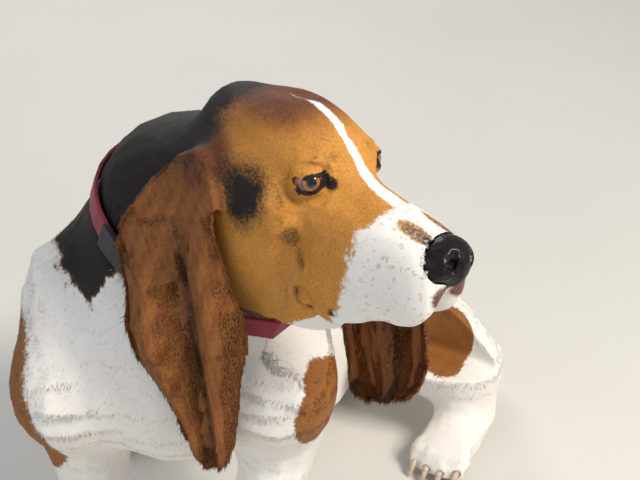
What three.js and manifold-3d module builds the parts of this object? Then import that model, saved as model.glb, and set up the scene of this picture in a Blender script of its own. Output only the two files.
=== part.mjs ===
// A life-size basset hound, sitting with its head turned to its left, in a plain collar.
// Millimetres, +Z up. The chest faces -Y, the dog's left is +X, and it rests on z = 0.
import * as THREE from "three";
import { mergeVertices } from "three/addons/utils/BufferGeometryUtils.js";
import Module from "manifold-3d";

const wasm = await Module();
wasm.setup();

const GAP = 0.3; // between pieces that touch
const PI = Math.PI;
const rad = THREE.MathUtils.degToRad;
const vec = (x, y, z) => new THREE.Vector3(x, y, z);

// Driving dimensions
const EYE_HEIGHT = 474; // of the point midway between the eyes
const EYES_ASIDE = 147; // that point lies to the dog's left of the chest
const EYES_FORWARD = 33; // and in front of it
const HEAD_TURN = 49.8; // degrees to the dog's left
const HEAD_NOD = -0.5;
const HEAD_TILT = -7;
const HIP_SWING = 20; // degrees that the hindquarters are swung to the dog's left
const PELVIS = [112, 352, 128];
const CHEST_HALF_WIDTH = 106;
const SHOULDER_SPREAD = 92;
const ELBOW_SPREAD = 92;
const ELBOW_HEIGHT = 158;
const WRIST_HEIGHT = 60;
const PAW_HALF_WIDTH = 35;
const EYE_RADIUS = 12.5;
const LID_THICKNESS = 2.4;
const EAR_THICKNESS = 5;
const COLLAR_WIDTH = 22;
const COLLAR_THICKNESS = 3.4;

// Sizes of the grid that each piece is drawn on
const HEAD_CELL = 13;
const MUZZLE_CELL = 10.5;
const NOSE_CELL = 5.4;
const NECK_CELL = 27;
const TORSO_CELL = 31;
const LIMB_CELL = 21;
const PAW_CELL = 11.5;

// Frames that the head and the hindquarters are modelled in: x forward, y to the dog's left, z up
function frameAt(x, y, z, turn, nod = 0, tilt = 0) {
  const facing = rad(turn - 90);
  return new THREE.Matrix4()
    .makeTranslation(x, y, z)
    .multiply(new THREE.Matrix4().makeRotationZ(facing))
    .multiply(new THREE.Matrix4().makeRotationY(rad(nod)))
    .multiply(new THREE.Matrix4().makeRotationX(rad(tilt)));
}
const headFrame = frameAt(EYES_ASIDE, -EYES_FORWARD, EYE_HEIGHT, HEAD_TURN, HEAD_NOD, HEAD_TILT);
const rearFrame = frameAt(PELVIS[0], PELVIS[1], 0, -HIP_SWING);
const worldFrame = new THREE.Matrix4();
const inHead = (x, y, z) => vec(x, y, z).applyMatrix4(headFrame);
const inRear = (x, y, z) => vec(x, y, z).applyMatrix4(rearFrame);

// Soft forms: each is a function that gives the distance in mm from a point to its surface
function limb(a, radiusA, b, radiusB) {
  const [ax, ay, az] = a.toArray();
  const d = b.clone().sub(a);
  const lengthSquared = d.lengthSq();
  return (x, y, z) => {
    const px = x - ax;
    const py = y - ay;
    const pz = z - az;
    const t = Math.min(1, Math.max(0, (px * d.x + py * d.y + pz * d.z) / lengthSquared));
    return Math.hypot(px - t * d.x, py - t * d.y, pz - t * d.z) - radiusA - t * (radiusB - radiusA);
  };
}

// An egg with half-lengths [along, across, deep], set in a frame and leaning about its three axes
function egg(frame, centre, halves, lean = [0, 0, 0]) {
  const place = frame
    .clone()
    .multiply(new THREE.Matrix4().makeTranslation(...centre))
    .multiply(new THREE.Matrix4().makeRotationFromEuler(new THREE.Euler(...lean.map(rad), "ZYX")));
  const e = place.invert().elements;
  const [a, b, c] = halves;
  const least = Math.min(a, b, c);
  return (x, y, z) => {
    const u = (e[0] * x + e[4] * y + e[8] * z + e[12]) / a;
    const v = (e[1] * x + e[5] * y + e[9] * z + e[13]) / b;
    const w = (e[2] * x + e[6] * y + e[10] * z + e[14]) / c;
    const near = Math.hypot(u, v, w);
    if (near < 1e-4) return -least;
    return (near * (near - 1)) / Math.hypot(u / a, v / b, w / c);
  };
}

// Two forms run together over a width k, or one is worn away softly by the other
function melt(a, b, k) {
  const h = Math.max(k - Math.abs(a - b), 0) / k;
  return Math.min(a, b) - (h * h * k) / 4;
}
const wear = (a, b, k) => -melt(-a, b, k);
const together = (forms, k) => (x, y, z) =>
  forms.reduce((d, form) => melt(d, form(x, y, z), k), 1e3);

// Head, in its own frame. Eyes are at x = 0, the nose tip at x = 121
const BROW = { x: 0, y: 31, z: 15 };
const EYE = { x: -5, y: 34, z: 3 };
const EAR_ROOT = { x: -74, y: 50, z: -4 };
const NOSE = { x: 103, z: -33 };
const both = (make) => [make(1), make(-1)];

const skull = [
  egg(headFrame, [-56, 0, 6], [68, 50, 49]),
  egg(headFrame, [-106, 0, 16], [32, 30, 32]),
  egg(headFrame, [-30, 0, 4], [44, 42, 34], [0, 14, 0]),
  ...both((s) => egg(headFrame, [BROW.x - 5, s * (BROW.y - 3), BROW.z - 6], [22, 15, 14])),
  ...both((s) => egg(headFrame, [-52, s * 38, -26], [46, 22, 32], [0, 0, s * 14])),
  ...both((s) => egg(headFrame, [-66, s * 36, -52], [44, 21, 34])),
  ...both((s) => egg(headFrame, [EAR_ROOT.x, s * (EAR_ROOT.y - 6), EAR_ROOT.z], [26, 12, 20])),
];
const muzzle = [
  limb(inHead(0, 0, -16), 29, inHead(94, 0, -38), 20.5),
  ...both((s) => limb(inHead(4, s * 17, -32), 22, inHead(88, s * 9, -41), 17)),
];
const flews = both((s) =>
  together(
    [
      egg(headFrame, [58, s * 22, -56], [50, 14.5, 37], [0, 6, s * -5]),
      egg(headFrame, [28, s * 31, -72], [37, 12, 38], [0, -6, s * -6]),
      egg(headFrame, [82, s * 17, -60], [25, 14, 31]),
    ],
    14,
  ),
);
const throat = [
  egg(headFrame, [-64, 0, -66], [68, 43, 50], [0, -8, 0]),
  egg(headFrame, [-50, 0, -102], [56, 34, 54]),
  egg(headFrame, [-18, 0, -96], [42, 33, 46], [0, -6, 0]),
];
const faceForms = together([...skull, ...muzzle, ...throat], 16);
const flewForms = together(flews, 3);
const furrow = limb(inHead(-60, 0, 52), 3, inHead(6, 0, 24), 4);
const stopHollow = both((s) => egg(headFrame, [26, s * 27, 0], [26, 9, 12], [0, 24, s * -14]));
function headShape(x, y, z) {
  let d = melt(faceForms(x, y, z), flewForms(x, y, z), 12);
  d = wear(d, furrow(x, y, z), 8);
  stopHollow.forEach((hollow) => {
    d = wear(d, hollow(x, y, z) + 5, 10);
  });
  return d;
}

// Neck and body, in the dog's own frame
const NECK_TOP = inHead(-92, 0, -34);
const neckForms = [
  limb(NECK_TOP, 60, vec(18, 74, 392), 74),
  limb(vec(18, 74, 392), 73, vec(-2, 98, 326), 96),
  limb(inHead(-72, 0, -66), 36, vec(22, 22, 312), 50),
];
const torso = worldFrame;
const chestForms = [
  egg(torso, [12, 128, 248], [CHEST_HALF_WIDTH, 178, 116], [-42, 0, -8]),
  egg(torso, [0, 30, 262], [88, 66, 92]),
  egg(torso, [0, 132, 352], [58, 70, 62], [-30, 0, 0]),
  egg(torso, [4, 34, 214], [62, 52, 52]),
];
const loinForms = [
  egg(torso, [60, 246, 176], [100, 136, 92], [-30, 0, -18]),
  egg(rearFrame, [-14, 0, 118], [108, 96, 104]),
  egg(rearFrame, [46, 12, 88], [92, 92, 72]),
  egg(rearFrame, [-58, 0, 78], [66, 80, 82]),
];

// Forelegs: s is 1 for the dog's left and -1 for its right
const foreForms = (s) => {
  const shoulder = vec(s * 92, 8, 236);
  const elbow = vec(s * ELBOW_SPREAD, 66, ELBOW_HEIGHT);
  const wrist = vec(s * 74, 22, WRIST_HEIGHT);
  return {
    upper: [
      egg(torso, [s * SHOULDER_SPREAD, 66, 262], [46, 60, 92], [-28, s * 14, 0]),
      limb(shoulder, 46, elbow, 42),
      egg(torso, [s * 100, 30, 236], [44, 50, 56]),
    ],
    lower: [
      limb(elbow, 37, wrist, 27),
      limb(vec(s * 84, 44, 118), 34, vec(s * 78, 28, 84), 29),
      egg(torso, [s * 75, 20, 66], [33, 31, 11], [14, 0, 0]),
      egg(torso, [s * 77, 22, 90], [34, 33, 10], [18, 0, 0]),
      limb(wrist, 26, vec(s * 80, 2, 34), 25),
    ],
    wrist,
  };
};

// Paws: a flat-soled foot with four toes. The frame's x runs along the foot
const TOES = [-1.5, -0.5, 0.5, 1.5];
const TOE_PITCH = (2 * PAW_HALF_WIDTH - 26) / 3;
function toeLine(k) {
  const side = k * TOE_PITCH;
  const reach = 38 - 4.5 * Math.abs(k);
  return {
    back: [2, side * 0.62, 27],
    knuckle: [reach - 11, side, 21],
    tip: [reach, side * 1.06, 12],
  };
}
const pawForms = (frame) => {
  const at = (p) => vec(...p).applyMatrix4(frame);
  return [
    egg(frame, [-8, 0, 22], [34, 32, 24]),
    ...TOES.map((k) => {
      const toe = toeLine(k);
      return together(
        [
          limb(at(toe.back), 15, at(toe.knuckle), 12.5),
          limb(at(toe.knuckle), 12.5, at(toe.tip), 10),
        ],
        4,
      );
    }),
  ];
};
const forePawFrame = (s) => frameAt(s * 86, -22, 0, s * 12);

// Hind legs: the left one is spread wide and the right one is folded at the flank
const hindLines = {
  left: {
    hip: inRear(-4, 74, 138),
    stifle: inRear(24, 196, 84),
    hock: inRear(-62, 190, 42),
    paw: frameAt(270, 208, 0, -28),
    ankle: vec(296, 252, 34),
  },
  right: {
    hip: inRear(-6, -72, 132),
    stifle: inRear(66, -148, 98),
    hock: inRear(-48, -142, 42),
    paw: frameAt(-78, 266, 0, -26),
    ankle: vec(-66, 300, 34),
  },
};
const hindForms = (leg) => ({
  upper: [
    limb(leg.hip, 78, leg.stifle.clone().lerp(leg.hip, 0.28), 54),
    limb(leg.stifle.clone().lerp(leg.hip, 0.3), 54, leg.stifle, 38),
  ],
  lower: [
    limb(leg.stifle, 36, leg.hock, 30),
    limb(leg.hock, 29, leg.ankle, 27),
    limb(leg.stifle, 34, leg.ankle, 27),
  ],
});

// Tail, laid on the floor behind the hips
const tailLine = [
  inRear(-104, 0, 70),
  inRear(-150, 8, 34),
  inRear(-200, 30, 19),
  inRear(-248, 66, 14),
  inRear(-284, 112, 9.5),
];
const TAIL_RADII = [30, 22, 17, 13.5, 8];
const tailForms = tailLine
  .slice(1)
  .map((point, i) => limb(tailLine[i], TAIL_RADII[i], point, TAIL_RADII[i + 1]));

const sides = { left: 1, right: -1 };
const fore = Object.fromEntries(Object.entries(sides).map(([side, s]) => [side, foreForms(s)]));
const hind = Object.fromEntries(
  Object.entries(hindLines).map(([side, line]) => [side, hindForms(line)]),
);
const pawFrames = {};
const groups = { chest: together(chestForms, 40), hindquarters: together(loinForms, 44) };
groups.neck = together(neckForms, 34);
groups.tail = together(tailForms, 12);
for (const side of Object.keys(sides)) {
  groups["foreleg_upper_" + side] = together(fore[side].upper, 26);
  groups["foreleg_lower_" + side] = together(fore[side].lower, 9);
  groups["thigh_" + side] = together(hind[side].upper, 26);
  groups["hindleg_lower_" + side] = together(hind[side].lower, 14);
  pawFrames["forepaw_" + side] = forePawFrame(sides[side]);
  pawFrames["hindpaw_" + side] = hindLines[side].paw;
}
for (const [name, frame] of Object.entries(pawFrames)) groups[name] = together(pawForms(frame), 5);

const BODY_MELT = 24;
const NECK_MELT = 26;
const floorCut = (d, z) => Math.max(d, -z);
function bodyShape(x, y, z) {
  let d = 1e3;
  for (const form of Object.values(groups)) d = melt(d, form(x, y, z), BODY_MELT);
  return d;
}
const faceShape = (x, y, z) => melt(groups.neck(x, y, z), headShape(x, y, z), NECK_MELT);
const neckShape = (x, y, z) => melt(faceShape(x, y, z), groups.chest(x, y, z), BODY_MELT);
const dogShape = (x, y, z) => floorCut(melt(bodyShape(x, y, z), headShape(x, y, z), NECK_MELT), z);

// Where the inside of a grid meets itself only across a corner, one corner changes side
function untangle(values, size, at) {
  const step = [at(1, 0, 0), at(0, 1, 0), at(0, 0, 1)];
  for (let changed = 1, pass = 0; changed && pass < 40; pass++) {
    changed = 0;
    for (let k = 0; k < size[2] - 1; k++)
      for (let j = 0; j < size[1] - 1; j++)
        for (let i = 0; i < size[0] - 1; i++)
          for (let n = 0; n < 3; n++) {
            const [p, q] = [step[(n + 1) % 3], step[(n + 2) % 3]];
            const here = at(i, j, k);
            const face = [here, here + p, here + p + q, here + q];
            const [a, b, c, d] = face.map((f) => values[f] < 0);
            if (a !== c || b !== d || a === b) continue;
            const pair = a ? [face[0], face[2]] : [face[1], face[3]];
            const weak = values[pair[0]] > values[pair[1]] ? pair[0] : pair[1];
            values[weak] = 0.02;
            changed++;
          }
  }
}

// Draws the surface where shape equals level, on a grid of cells inside a box, as one closed mesh
function drawn(shape, low, high, cell, level = 0) {
  const size = [0, 1, 2].map((i) => Math.ceil((high[i] - low[i]) / cell) + 3);
  const at = (i, j, k) => i + size[0] * (j + size[1] * k);
  const values = new Float64Array(size[0] * size[1] * size[2]);
  const place = (i, axis) => low[axis] + (i - 1) * cell;
  const onRim = (...indices) => indices.some((i, axis) => i === 0 || i === size[axis] - 1);
  for (let k = 0; k < size[2]; k++)
    for (let j = 0; j < size[1]; j++)
      for (let i = 0; i < size[0]; i++) {
        const value = onRim(i, j, k) ? cell : shape(place(i, 0), place(j, 1), place(k, 2)) - level;
        values[at(i, j, k)] = value;
      }
  untangle(values, size, at);
  const points = [];
  const pointOf = new Map();
  const corners = [0, 1, 2, 3, 4, 5, 6, 7].map((c) => [c & 1, (c >> 1) & 1, c >> 2]);
  const isEdge = (a, b) => a.reduce((sum, value, n) => sum + Math.abs(value - b[n]), 0) === 1;
  const edges = corners.flatMap((a, i) =>
    corners.slice(i + 1).filter((b) => isEdge(a, b)).map((b) => [a, b]),
  );
  for (let k = 0; k < size[2] - 1; k++)
    for (let j = 0; j < size[1] - 1; j++)
      for (let i = 0; i < size[0] - 1; i++) {
        const sum = [0, 0, 0];
        let count = 0;
        for (const [a, b] of edges) {
          const va = values[at(i + a[0], j + a[1], k + a[2])];
          const vb = values[at(i + b[0], j + b[1], k + b[2])];
          if (va < 0 === vb < 0) continue;
          const t = va / (va - vb);
          for (let n = 0; n < 3; n++) sum[n] += a[n] + t * (b[n] - a[n]);
          count++;
        }
        if (!count) continue;
        pointOf.set(at(i, j, k), points.length / 3);
        points.push(
          place(i + sum[0] / count, 0),
          place(j + sum[1] / count, 1),
          place(k + sum[2] / count, 2),
        );
      }
  const faces = [];
  const step = [at(1, 0, 0), at(0, 1, 0), at(0, 0, 1)];
  const far = (a, b) => Math.hypot(...[0, 1, 2].map((n) => points[3 * a + n] - points[3 * b + n]));
  for (let k = 0; k < size[2] - 1; k++)
    for (let j = 0; j < size[1] - 1; j++)
      for (let i = 0; i < size[0] - 1; i++) {
        const here = at(i, j, k);
        for (let n = 0; n < 3; n++) {
          const inside = values[here] < 0;
          if (inside === values[here + step[n]] < 0) continue;
          const [p, q] = [step[(n + 1) % 3], step[(n + 2) % 3]];
          let ring = [here, here - p, here - p - q, here - q].map((c) => pointOf.get(c));
          if (!inside) ring = ring.reverse();
          const [a, b, c, d] = ring;
          if (far(a, c) < far(b, d)) faces.push(a, b, c, a, c, d);
          else faces.push(b, c, d, b, d, a);
        }
      }
  return { points, faces };
}

// Moves the points of a drawn mesh onto the true surface
function settled({ points, faces }, shape, cell, level = 0) {
  const h = cell * 0.05;
  for (let pass = 0; pass < 2; pass++)
    for (let i = 0; i < points.length; i += 3) {
      const [x, y, z] = points.slice(i, i + 3);
      const d = shape(x, y, z) - level;
      if (Math.abs(d) > cell * 0.5) continue;
      const g = [
        (shape(x + h, y, z) - shape(x - h, y, z)) / (2 * h),
        (shape(x, y + h, z) - shape(x, y - h, z)) / (2 * h),
        (shape(x, y, z + h) - shape(x, y, z - h)) / (2 * h),
      ];
      const share = d / Math.max(g[0] ** 2 + g[1] ** 2 + g[2] ** 2, 0.25);
      for (let n = 0; n < 3; n++) points[i + n] -= share * g[n];
    }
  return { points, faces };
}

function solid({ points, faces }) {
  const vertProperties = new Float32Array(points);
  const triVerts = new Uint32Array(faces);
  return new wasm.Manifold(new wasm.Mesh({ numProp: 3, vertProperties, triVerts }));
}
function solidFrom(geometry, matrix = worldFrame) {
  const bare = geometry.clone().applyMatrix4(matrix);
  bare.deleteAttribute("normal");
  bare.deleteAttribute("uv");
  const merged = mergeVertices(bare, 1e-3);
  return solid({ points: merged.attributes.position.array, faces: merged.index.array });
}
const drawnSolid = (shape, low, high, cell, level = 0) =>
  solid(settled(drawn(shape, low, high, cell, level), shape, cell, level));

// Only the largest closed body of a solid is kept
function largest(made) {
  const bodies = made.decompose();
  return bodies.reduce((best, body) => (body.volume() > best.volume() ? body : best));
}

// A cut has a small side, to keep a piece by, and a large side, to take that piece from the rest
const HALF_SPACE = 1600;
function planeCut(point, along) {
  const slab = new THREE.BoxGeometry(HALF_SPACE, HALF_SPACE, HALF_SPACE);
  const turn = new THREE.Quaternion().setFromUnitVectors(vec(0, 0, 1), along.clone().normalize());
  const beyond = (shift) => {
    const centre = point.clone().addScaledVector(along.clone().normalize(), HALF_SPACE / 2 + shift);
    return solidFrom(slab, new THREE.Matrix4().compose(centre, turn, vec(1, 1, 1)));
  };
  return { small: beyond(GAP / 2), large: beyond(-GAP / 2) };
}

// A cut round a leg: an upright oval outline that goes outward from an inner plane
function outlineCut(frame, centre, halves, inner, side) {
  const reach = 400;
  const oval = new THREE.CylinderGeometry(1, 1, 1, 16);
  const block = (grow) => {
    const depth = reach - inner + grow;
    const middle = side * (inner - grow + depth / 2);
    const size = new THREE.Matrix4().makeScale(halves[0] + grow, depth, halves[1] + grow);
    const place = new THREE.Matrix4().makeTranslation(centre[0], middle, centre[1]);
    return solidFrom(oval, frame.clone().multiply(place).multiply(size));
  };
  return { small: block(-GAP / 2), large: block(GAP / 2) };
}

const boxes = {
  head: [[-60, -170, 350], [250, 120, 545]],
  neck: [[-120, -80, 250], [170, 220, 500]],
  torso: [[-180, -80, -20], [280, 500, 470]],
};
const along = (a, b) => b.clone().sub(a).normalize();
const cuts = {
  head: planeCut(inHead(-122, 0, -60), along(vec(30, 70, 396), inHead(-84, 0, -20))),
  neck: planeCut(vec(6, 92, 348), vec(0.2, -0.5, 0.84)),
  tail: planeCut(inRear(-128, 3, 50), along(tailLine[0], tailLine[1])),
  waist: planeCut(vec(44, 214, 210), vec(0.3, 0.86, -0.42)),
};
const legBox = {
  foreleg_left: [[20, -100, -20], [200, 180, 440]],
  foreleg_right: [[-200, -100, -20], [-20, 180, 440]],
  hindleg_left: [[90, 100, -20], [400, 500, 270]],
  hindleg_right: [[-220, 160, -20], [110, 540, 270]],
};
const foreFrame = frameAt(0, 20, 0, 0);
for (const [side, s] of Object.entries(sides)) {
  cuts["foreleg_" + side] = outlineCut(foreFrame, [-18, 0], [98, 332], 42, s);
  cuts["hindleg_" + side] = outlineCut(rearFrame, [20, 0], [206, 236], 66, s);
  const leg = fore[side];
  const line = hindLines[side];
  const elbow = vec(s * ELBOW_SPREAD, 66, ELBOW_HEIGHT);
  cuts["elbow_" + side] = planeCut(elbow.clone().lerp(leg.wrist, 0.1), vec(0, -0.15, -1));
  const pastern = leg.wrist.clone().lerp(vec(s * 80, 2, 34), 0.45);
  cuts["wrist_" + side] = planeCut(pastern, vec(0, -0.6, -1));
  cuts["knee_" + side] = planeCut(
    line.stifle.clone().lerp(line.ankle, 0.22),
    along(line.hip, line.stifle).add(vec(0, 0, -0.9)),
  );
  cuts["ankle_" + side] = planeCut(line.ankle.clone(), vec(1, 0, 0).transformDirection(line.paw));
}

const group = new THREE.Group();
const colours = {
  tan: 0xb9692a,
  brown: 0x7a3f1c,
  white: 0xe9e4da,
  black: 0x14110f,
  crimson: 0x9c1030,
  amber: 0x8a5312,
};
const finish = (colour, roughness = 0.85) =>
  new THREE.MeshStandardMaterial({ color: colours[colour], roughness });
const looks = {
  tan: finish("tan"),
  brown: finish("brown"),
  white: finish("white"),
  nose: finish("black", 0.35),
  claw: finish("black", 0.5),
  webbing: finish("crimson", 0.7),
  loop: finish("black", 0.6),
  eye: finish("amber", 0.1),
};

const solids = {};
function add(name, made, look) {
  solids[name] = made;
  const mesh = made.getMesh();
  const geometry = new THREE.BufferGeometry();
  geometry.setAttribute("position", new THREE.BufferAttribute(mesh.vertProperties, 3));
  geometry.setIndex(new THREE.BufferAttribute(mesh.triVerts, 1));
  geometry.computeVertexNormals();
  const node = new THREE.Mesh(geometry, looks[look]);
  node.name = name;
  group.add(node);
}

// Closed surfaces lofted over rings of points: each ring has as many points as the next
function lofted(rings, looped = false) {
  const count = rings[0].length;
  const points = rings.flat().flatMap((point) => point.toArray());
  const faces = [];
  const at = (i, j) => (i % rings.length) * count + ((j + count) % count);
  for (let i = 0; i < rings.length - (looped ? 0 : 1); i++)
    for (let j = 0; j < count; j++)
      faces.push(at(i, j), at(i, j + 1), at(i + 1, j + 1), at(i, j), at(i + 1, j + 1), at(i + 1, j));
  if (!looped)
    for (const [i, out] of [[0, false], [rings.length - 1, true]]) {
      const hubPoint = vec(0, 0, 0);
      rings[i].forEach((point) => hubPoint.addScaledVector(point, 1 / count));
      points.push(...hubPoint.toArray());
      const hub = points.length / 3 - 1;
      for (let j = 0; j < count; j++) {
        const side = [at(i, j + 1), at(i, j)];
        faces.push(hub, ...(out ? side.reverse() : side));
      }
    }
  const made = solid({ points, faces });
  return made.volume() > 0 ? made : solid({ points, faces: faces.reverse() });
}

// A round tube through points, closed on itself or with flat ends
function tube(points, radii, sideCount, looped) {
  const last = points.length - 1;
  const rings = points.map((point, i) => {
    const before = points[i === 0 ? (looped ? last : 0) : i - 1];
    const after = points[i === last ? (looped ? 0 : last) : i + 1];
    const heading = along(before, after);
    const turn = new THREE.Quaternion().setFromUnitVectors(vec(0, 0, 1), heading);
    return Array.from({ length: sideCount }, (_, j) => {
      const angle = (2 * PI * j) / sideCount;
      return vec(Math.cos(angle), Math.sin(angle), 0)
        .multiplyScalar(radii[i] ?? radii[0])
        .applyQuaternion(turn)
        .add(point);
    });
  });
  return lofted(rings, looped);
}

// Collar: a band pressed 1.5 mm into the coat, with a strap keeper over it
const COLLAR_CENTRE = vec(18, 70, 382);
const COLLAR_AXIS = vec(0.3, -0.28, 0.9).normalize();
const COLLAR_STEPS = 30;
const KEEPER = { from: 25, steps: 2, thickness: 2.6, overhang: 2 };
const collarAcross = vec(1, 0, 0).cross(COLLAR_AXIS).normalize();
const collarUp = COLLAR_AXIS.clone().cross(collarAcross);
const collarOut = (i) => {
  const angle = (2 * PI * i) / COLLAR_STEPS;
  return collarAcross
    .clone()
    .multiplyScalar(Math.cos(angle))
    .addScaledVector(collarUp, Math.sin(angle));
};
const neckRadii = Array.from({ length: COLLAR_STEPS }, (_, i) => {
  const place = (r) => COLLAR_CENTRE.clone().addScaledVector(collarOut(i), r).toArray();
  let r = 30;
  while (neckShape(...place(r)) < 0) r += 0.5;
  return r;
});
function collarBand(inner, outer, wider, from = 0, steps = COLLAR_STEPS) {
  const looped = steps === COLLAR_STEPS;
  const rings = Array.from({ length: looped ? steps : steps + 1 }, (_, i) => {
    const n = (from + i) % COLLAR_STEPS;
    const [before, after] = [neckRadii.at(n - 1), neckRadii[(n + 1) % COLLAR_STEPS]];
    const radius = (before + 2 * neckRadii[n] + after) / 4;
    const half = COLLAR_WIDTH / 2 + wider;
    const corners = [[-half, inner], [half, inner], [half, outer], [-half, outer]];
    return corners.map(([rise, depth]) =>
      COLLAR_CENTRE.clone()
        .addScaledVector(collarOut(n), radius + depth)
        .addScaledVector(COLLAR_AXIS, rise),
    );
  });
  return lofted(rings, looped);
}
const SUNK = 1.5;
const ROOM_DEPTH = 30;
const bandOuter = COLLAR_THICKNESS - SUNK;
const keeperOuter = bandOuter + KEEPER.thickness + 3 * GAP;
const roundKeeper = (inner, outer) =>
  collarBand(inner, outer, KEEPER.overhang + GAP, KEEPER.from - 1, KEEPER.steps + 2);
const collarEnvelope = collarBand(-SUNK - GAP, bandOuter + 2 * GAP, 2 * GAP).add(
  roundKeeper(bandOuter, keeperOuter),
);
const collarRoom = collarBand(-SUNK - 2 * GAP, ROOM_DEPTH, 2 * GAP).add(
  roundKeeper(-SUNK - GAP, ROOM_DEPTH),
);

// Neck, chest, hindquarters and tail
const legCuts = ["foreleg_left", "foreleg_right", "hindleg_left", "hindleg_right"];
const withoutLegs = (made) =>
  legCuts.reduce((rest, name) => rest.subtract(cuts[name].large), made).subtract(collarRoom);
const neckWhole = drawnSolid(dogShape, ...boxes.neck, NECK_CELL);
const neckPiece = withoutLegs(neckWhole.subtract(cuts.head.large).intersect(cuts.neck.small));
add("neck", largest(neckPiece), "white");
add("collar_band", collarBand(-SUNK, bandOuter, 0), "webbing");
add(
  "collar_keeper",
  collarBand(
    bandOuter + GAP,
    bandOuter + GAP + KEEPER.thickness,
    KEEPER.overhang,
    KEEPER.from,
    KEEPER.steps,
  ),
  "loop",
);
const torsoWhole = withoutLegs(
  drawnSolid(dogShape, ...boxes.torso, TORSO_CELL)
    .subtract(cuts.neck.large)
    .subtract(cuts.tail.large),
);
add("chest", largest(torsoWhole.subtract(cuts.waist.large)), "white");
add("hindquarters", largest(torsoWhole.intersect(cuts.waist.small)), "white");
const tailWhole = drawnSolid(dogShape, [60, 400, -8], [420, 700, 120], LIMB_CELL);
add("tail", largest(tailWhole.intersect(cuts.tail.small)), "white");

// Claws: a short curved horn at the end of each toe
const CLAW = { length: 17, radius: 4.2 };
function claw(frame, k, grow) {
  const toe = toeLine(k);
  const at = (forward, z) => vec(toe.tip[0] + forward, toe.tip[1] * 1.02, z).applyMatrix4(frame);
  const line = [at(-1, 15), at(8, 13), at(13, 8.5), at(CLAW.length, 2.6)];
  return tube(line, [1, 0.92, 0.7, 0.25].map((share) => CLAW.radius * share + grow), 6, false);
}

// Legs and paws
function addPaw(name, made) {
  const horns = TOES.map((k) => claw(pawFrames[name], k, 0));
  const rooms = TOES.map((k) => claw(pawFrames[name], k, GAP));
  add(name, largest(rooms.reduce((rest, room) => rest.subtract(room), made)), "white");
  horns.forEach((horn, i) => add(name.replace("paw", "claw") + "_" + (i + 1), horn, "claw"));
}
for (const side of Object.keys(sides)) {
  const foreBox = legBox["foreleg_" + side];
  const hindBox = legBox["hindleg_" + side];
  const clearOfNeck = (made) => made.subtract(cuts.neck.large).subtract(collarRoom);
  const foreWhole = clearOfNeck(drawnSolid(dogShape, ...foreBox, LIMB_CELL)).intersect(
    cuts["foreleg_" + side].small,
  );
  const hindWhole = drawnSolid(dogShape, ...hindBox, LIMB_CELL)
    .intersect(cuts["hindleg_" + side].small)
    .subtract(cuts["foreleg_" + side].large)
    .subtract(cuts.tail.large);
  const pawBox = (name) => {
    const middle = vec(0, 0, 0).applyMatrix4(pawFrames[name]);
    return [[middle.x - 75, middle.y - 75, -10], [middle.x + 75, middle.y + 75, 90]];
  };
  const forePaw = drawnSolid(dogShape, ...pawBox("forepaw_" + side), PAW_CELL);
  const hindPaw = drawnSolid(dogShape, ...pawBox("hindpaw_" + side), PAW_CELL);
  const elbow = cuts["elbow_" + side];
  const wrist = cuts["wrist_" + side];
  const knee = cuts["knee_" + side];
  const ankle = cuts["ankle_" + side];
  add("foreleg_upper_" + side, largest(foreWhole.subtract(elbow.large)), "tan");
  const forearm = foreWhole.intersect(elbow.small).subtract(wrist.large);
  add("foreleg_lower_" + side, largest(forearm), "white");
  addPaw("forepaw_" + side, forePaw.intersect(wrist.small).intersect(cuts["foreleg_" + side].small));
  const hindLeg = hindWhole.subtract(ankle.large);
  add("thigh_" + side, largest(hindLeg.subtract(knee.large)), "tan");
  add("hindleg_lower_" + side, largest(hindLeg.intersect(knee.small)), "white");
  addPaw("hindpaw_" + side, hindPaw.intersect(ankle.small).intersect(cuts["hindleg_" + side].small));
}

// Eyes, each a ball behind a ring of lids
const eyeAt = (s) => [EYE.x, s * EYE.y, EYE.z];
const LIDS = { forward: 10.5, back: -12.5, top: 5.5, bottom: -8.5, steps: 12 };
const ball = (s, grow) =>
  solidFrom(
    new THREE.IcosahedronGeometry(EYE_RADIUS + grow, 2),
    headFrame.clone().multiply(new THREE.Matrix4().makeTranslation(...eyeAt(s))),
  );
function lidRing(s, grow) {
  const outward = vec(0.42, s * 0.9, 0.05).normalize();
  const forward = vec(0.9, s * -0.42, 0).normalize();
  const points = Array.from({ length: LIDS.steps }, (_, i) => {
    const angle = (2 * PI * i) / LIDS.steps;
    const reach = Math.cos(angle) > 0 ? LIDS.forward : -LIDS.back;
    const rise = Math.sin(angle) > 0 ? LIDS.top : -LIDS.bottom;
    const a = reach * Math.cos(angle);
    const b = rise * Math.sin(angle) - a * 0.28;
    const c = Math.sqrt(Math.max((EYE_RADIUS + 2) ** 2 - a * a - b * b, 20));
    return vec(...eyeAt(s))
      .addScaledVector(forward, a)
      .addScaledVector(vec(0, 0, 1), b)
      .addScaledVector(outward, c)
      .applyMatrix4(headFrame);
  });
  return tube(points, [LID_THICKNESS + grow], 6, true);
}

// Nose leather with two comma nostrils
const noseForms = together(
  [
    egg(headFrame, [NOSE.x, 0, NOSE.z], [19, 20.5, 16], [0, 14, 0]),
    egg(headFrame, [NOSE.x + 2, 0, NOSE.z - 11], [14, 9, 12]),
    ...both((s) => egg(headFrame, [NOSE.x - 5, s * 15, NOSE.z - 4], [17, 9.5, 12])),
  ],
  6,
);
const nostrils = both((s) =>
  egg(headFrame, [NOSE.x + 14, s * 12.5, NOSE.z + 1], [9, 4.6, 5.2], [0, 0, s * 40]),
);
function noseShape(x, y, z) {
  return nostrils.reduce((d, nostril) => wear(d, nostril(x, y, z), 2), noseForms(x, y, z));
}
const noseMiddle = inHead(NOSE.x, 0, NOSE.z - 4);
const around = (point, reach) => [
  point.clone().subScalar(reach).toArray(),
  point.clone().addScalar(reach).toArray(),
];

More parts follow.
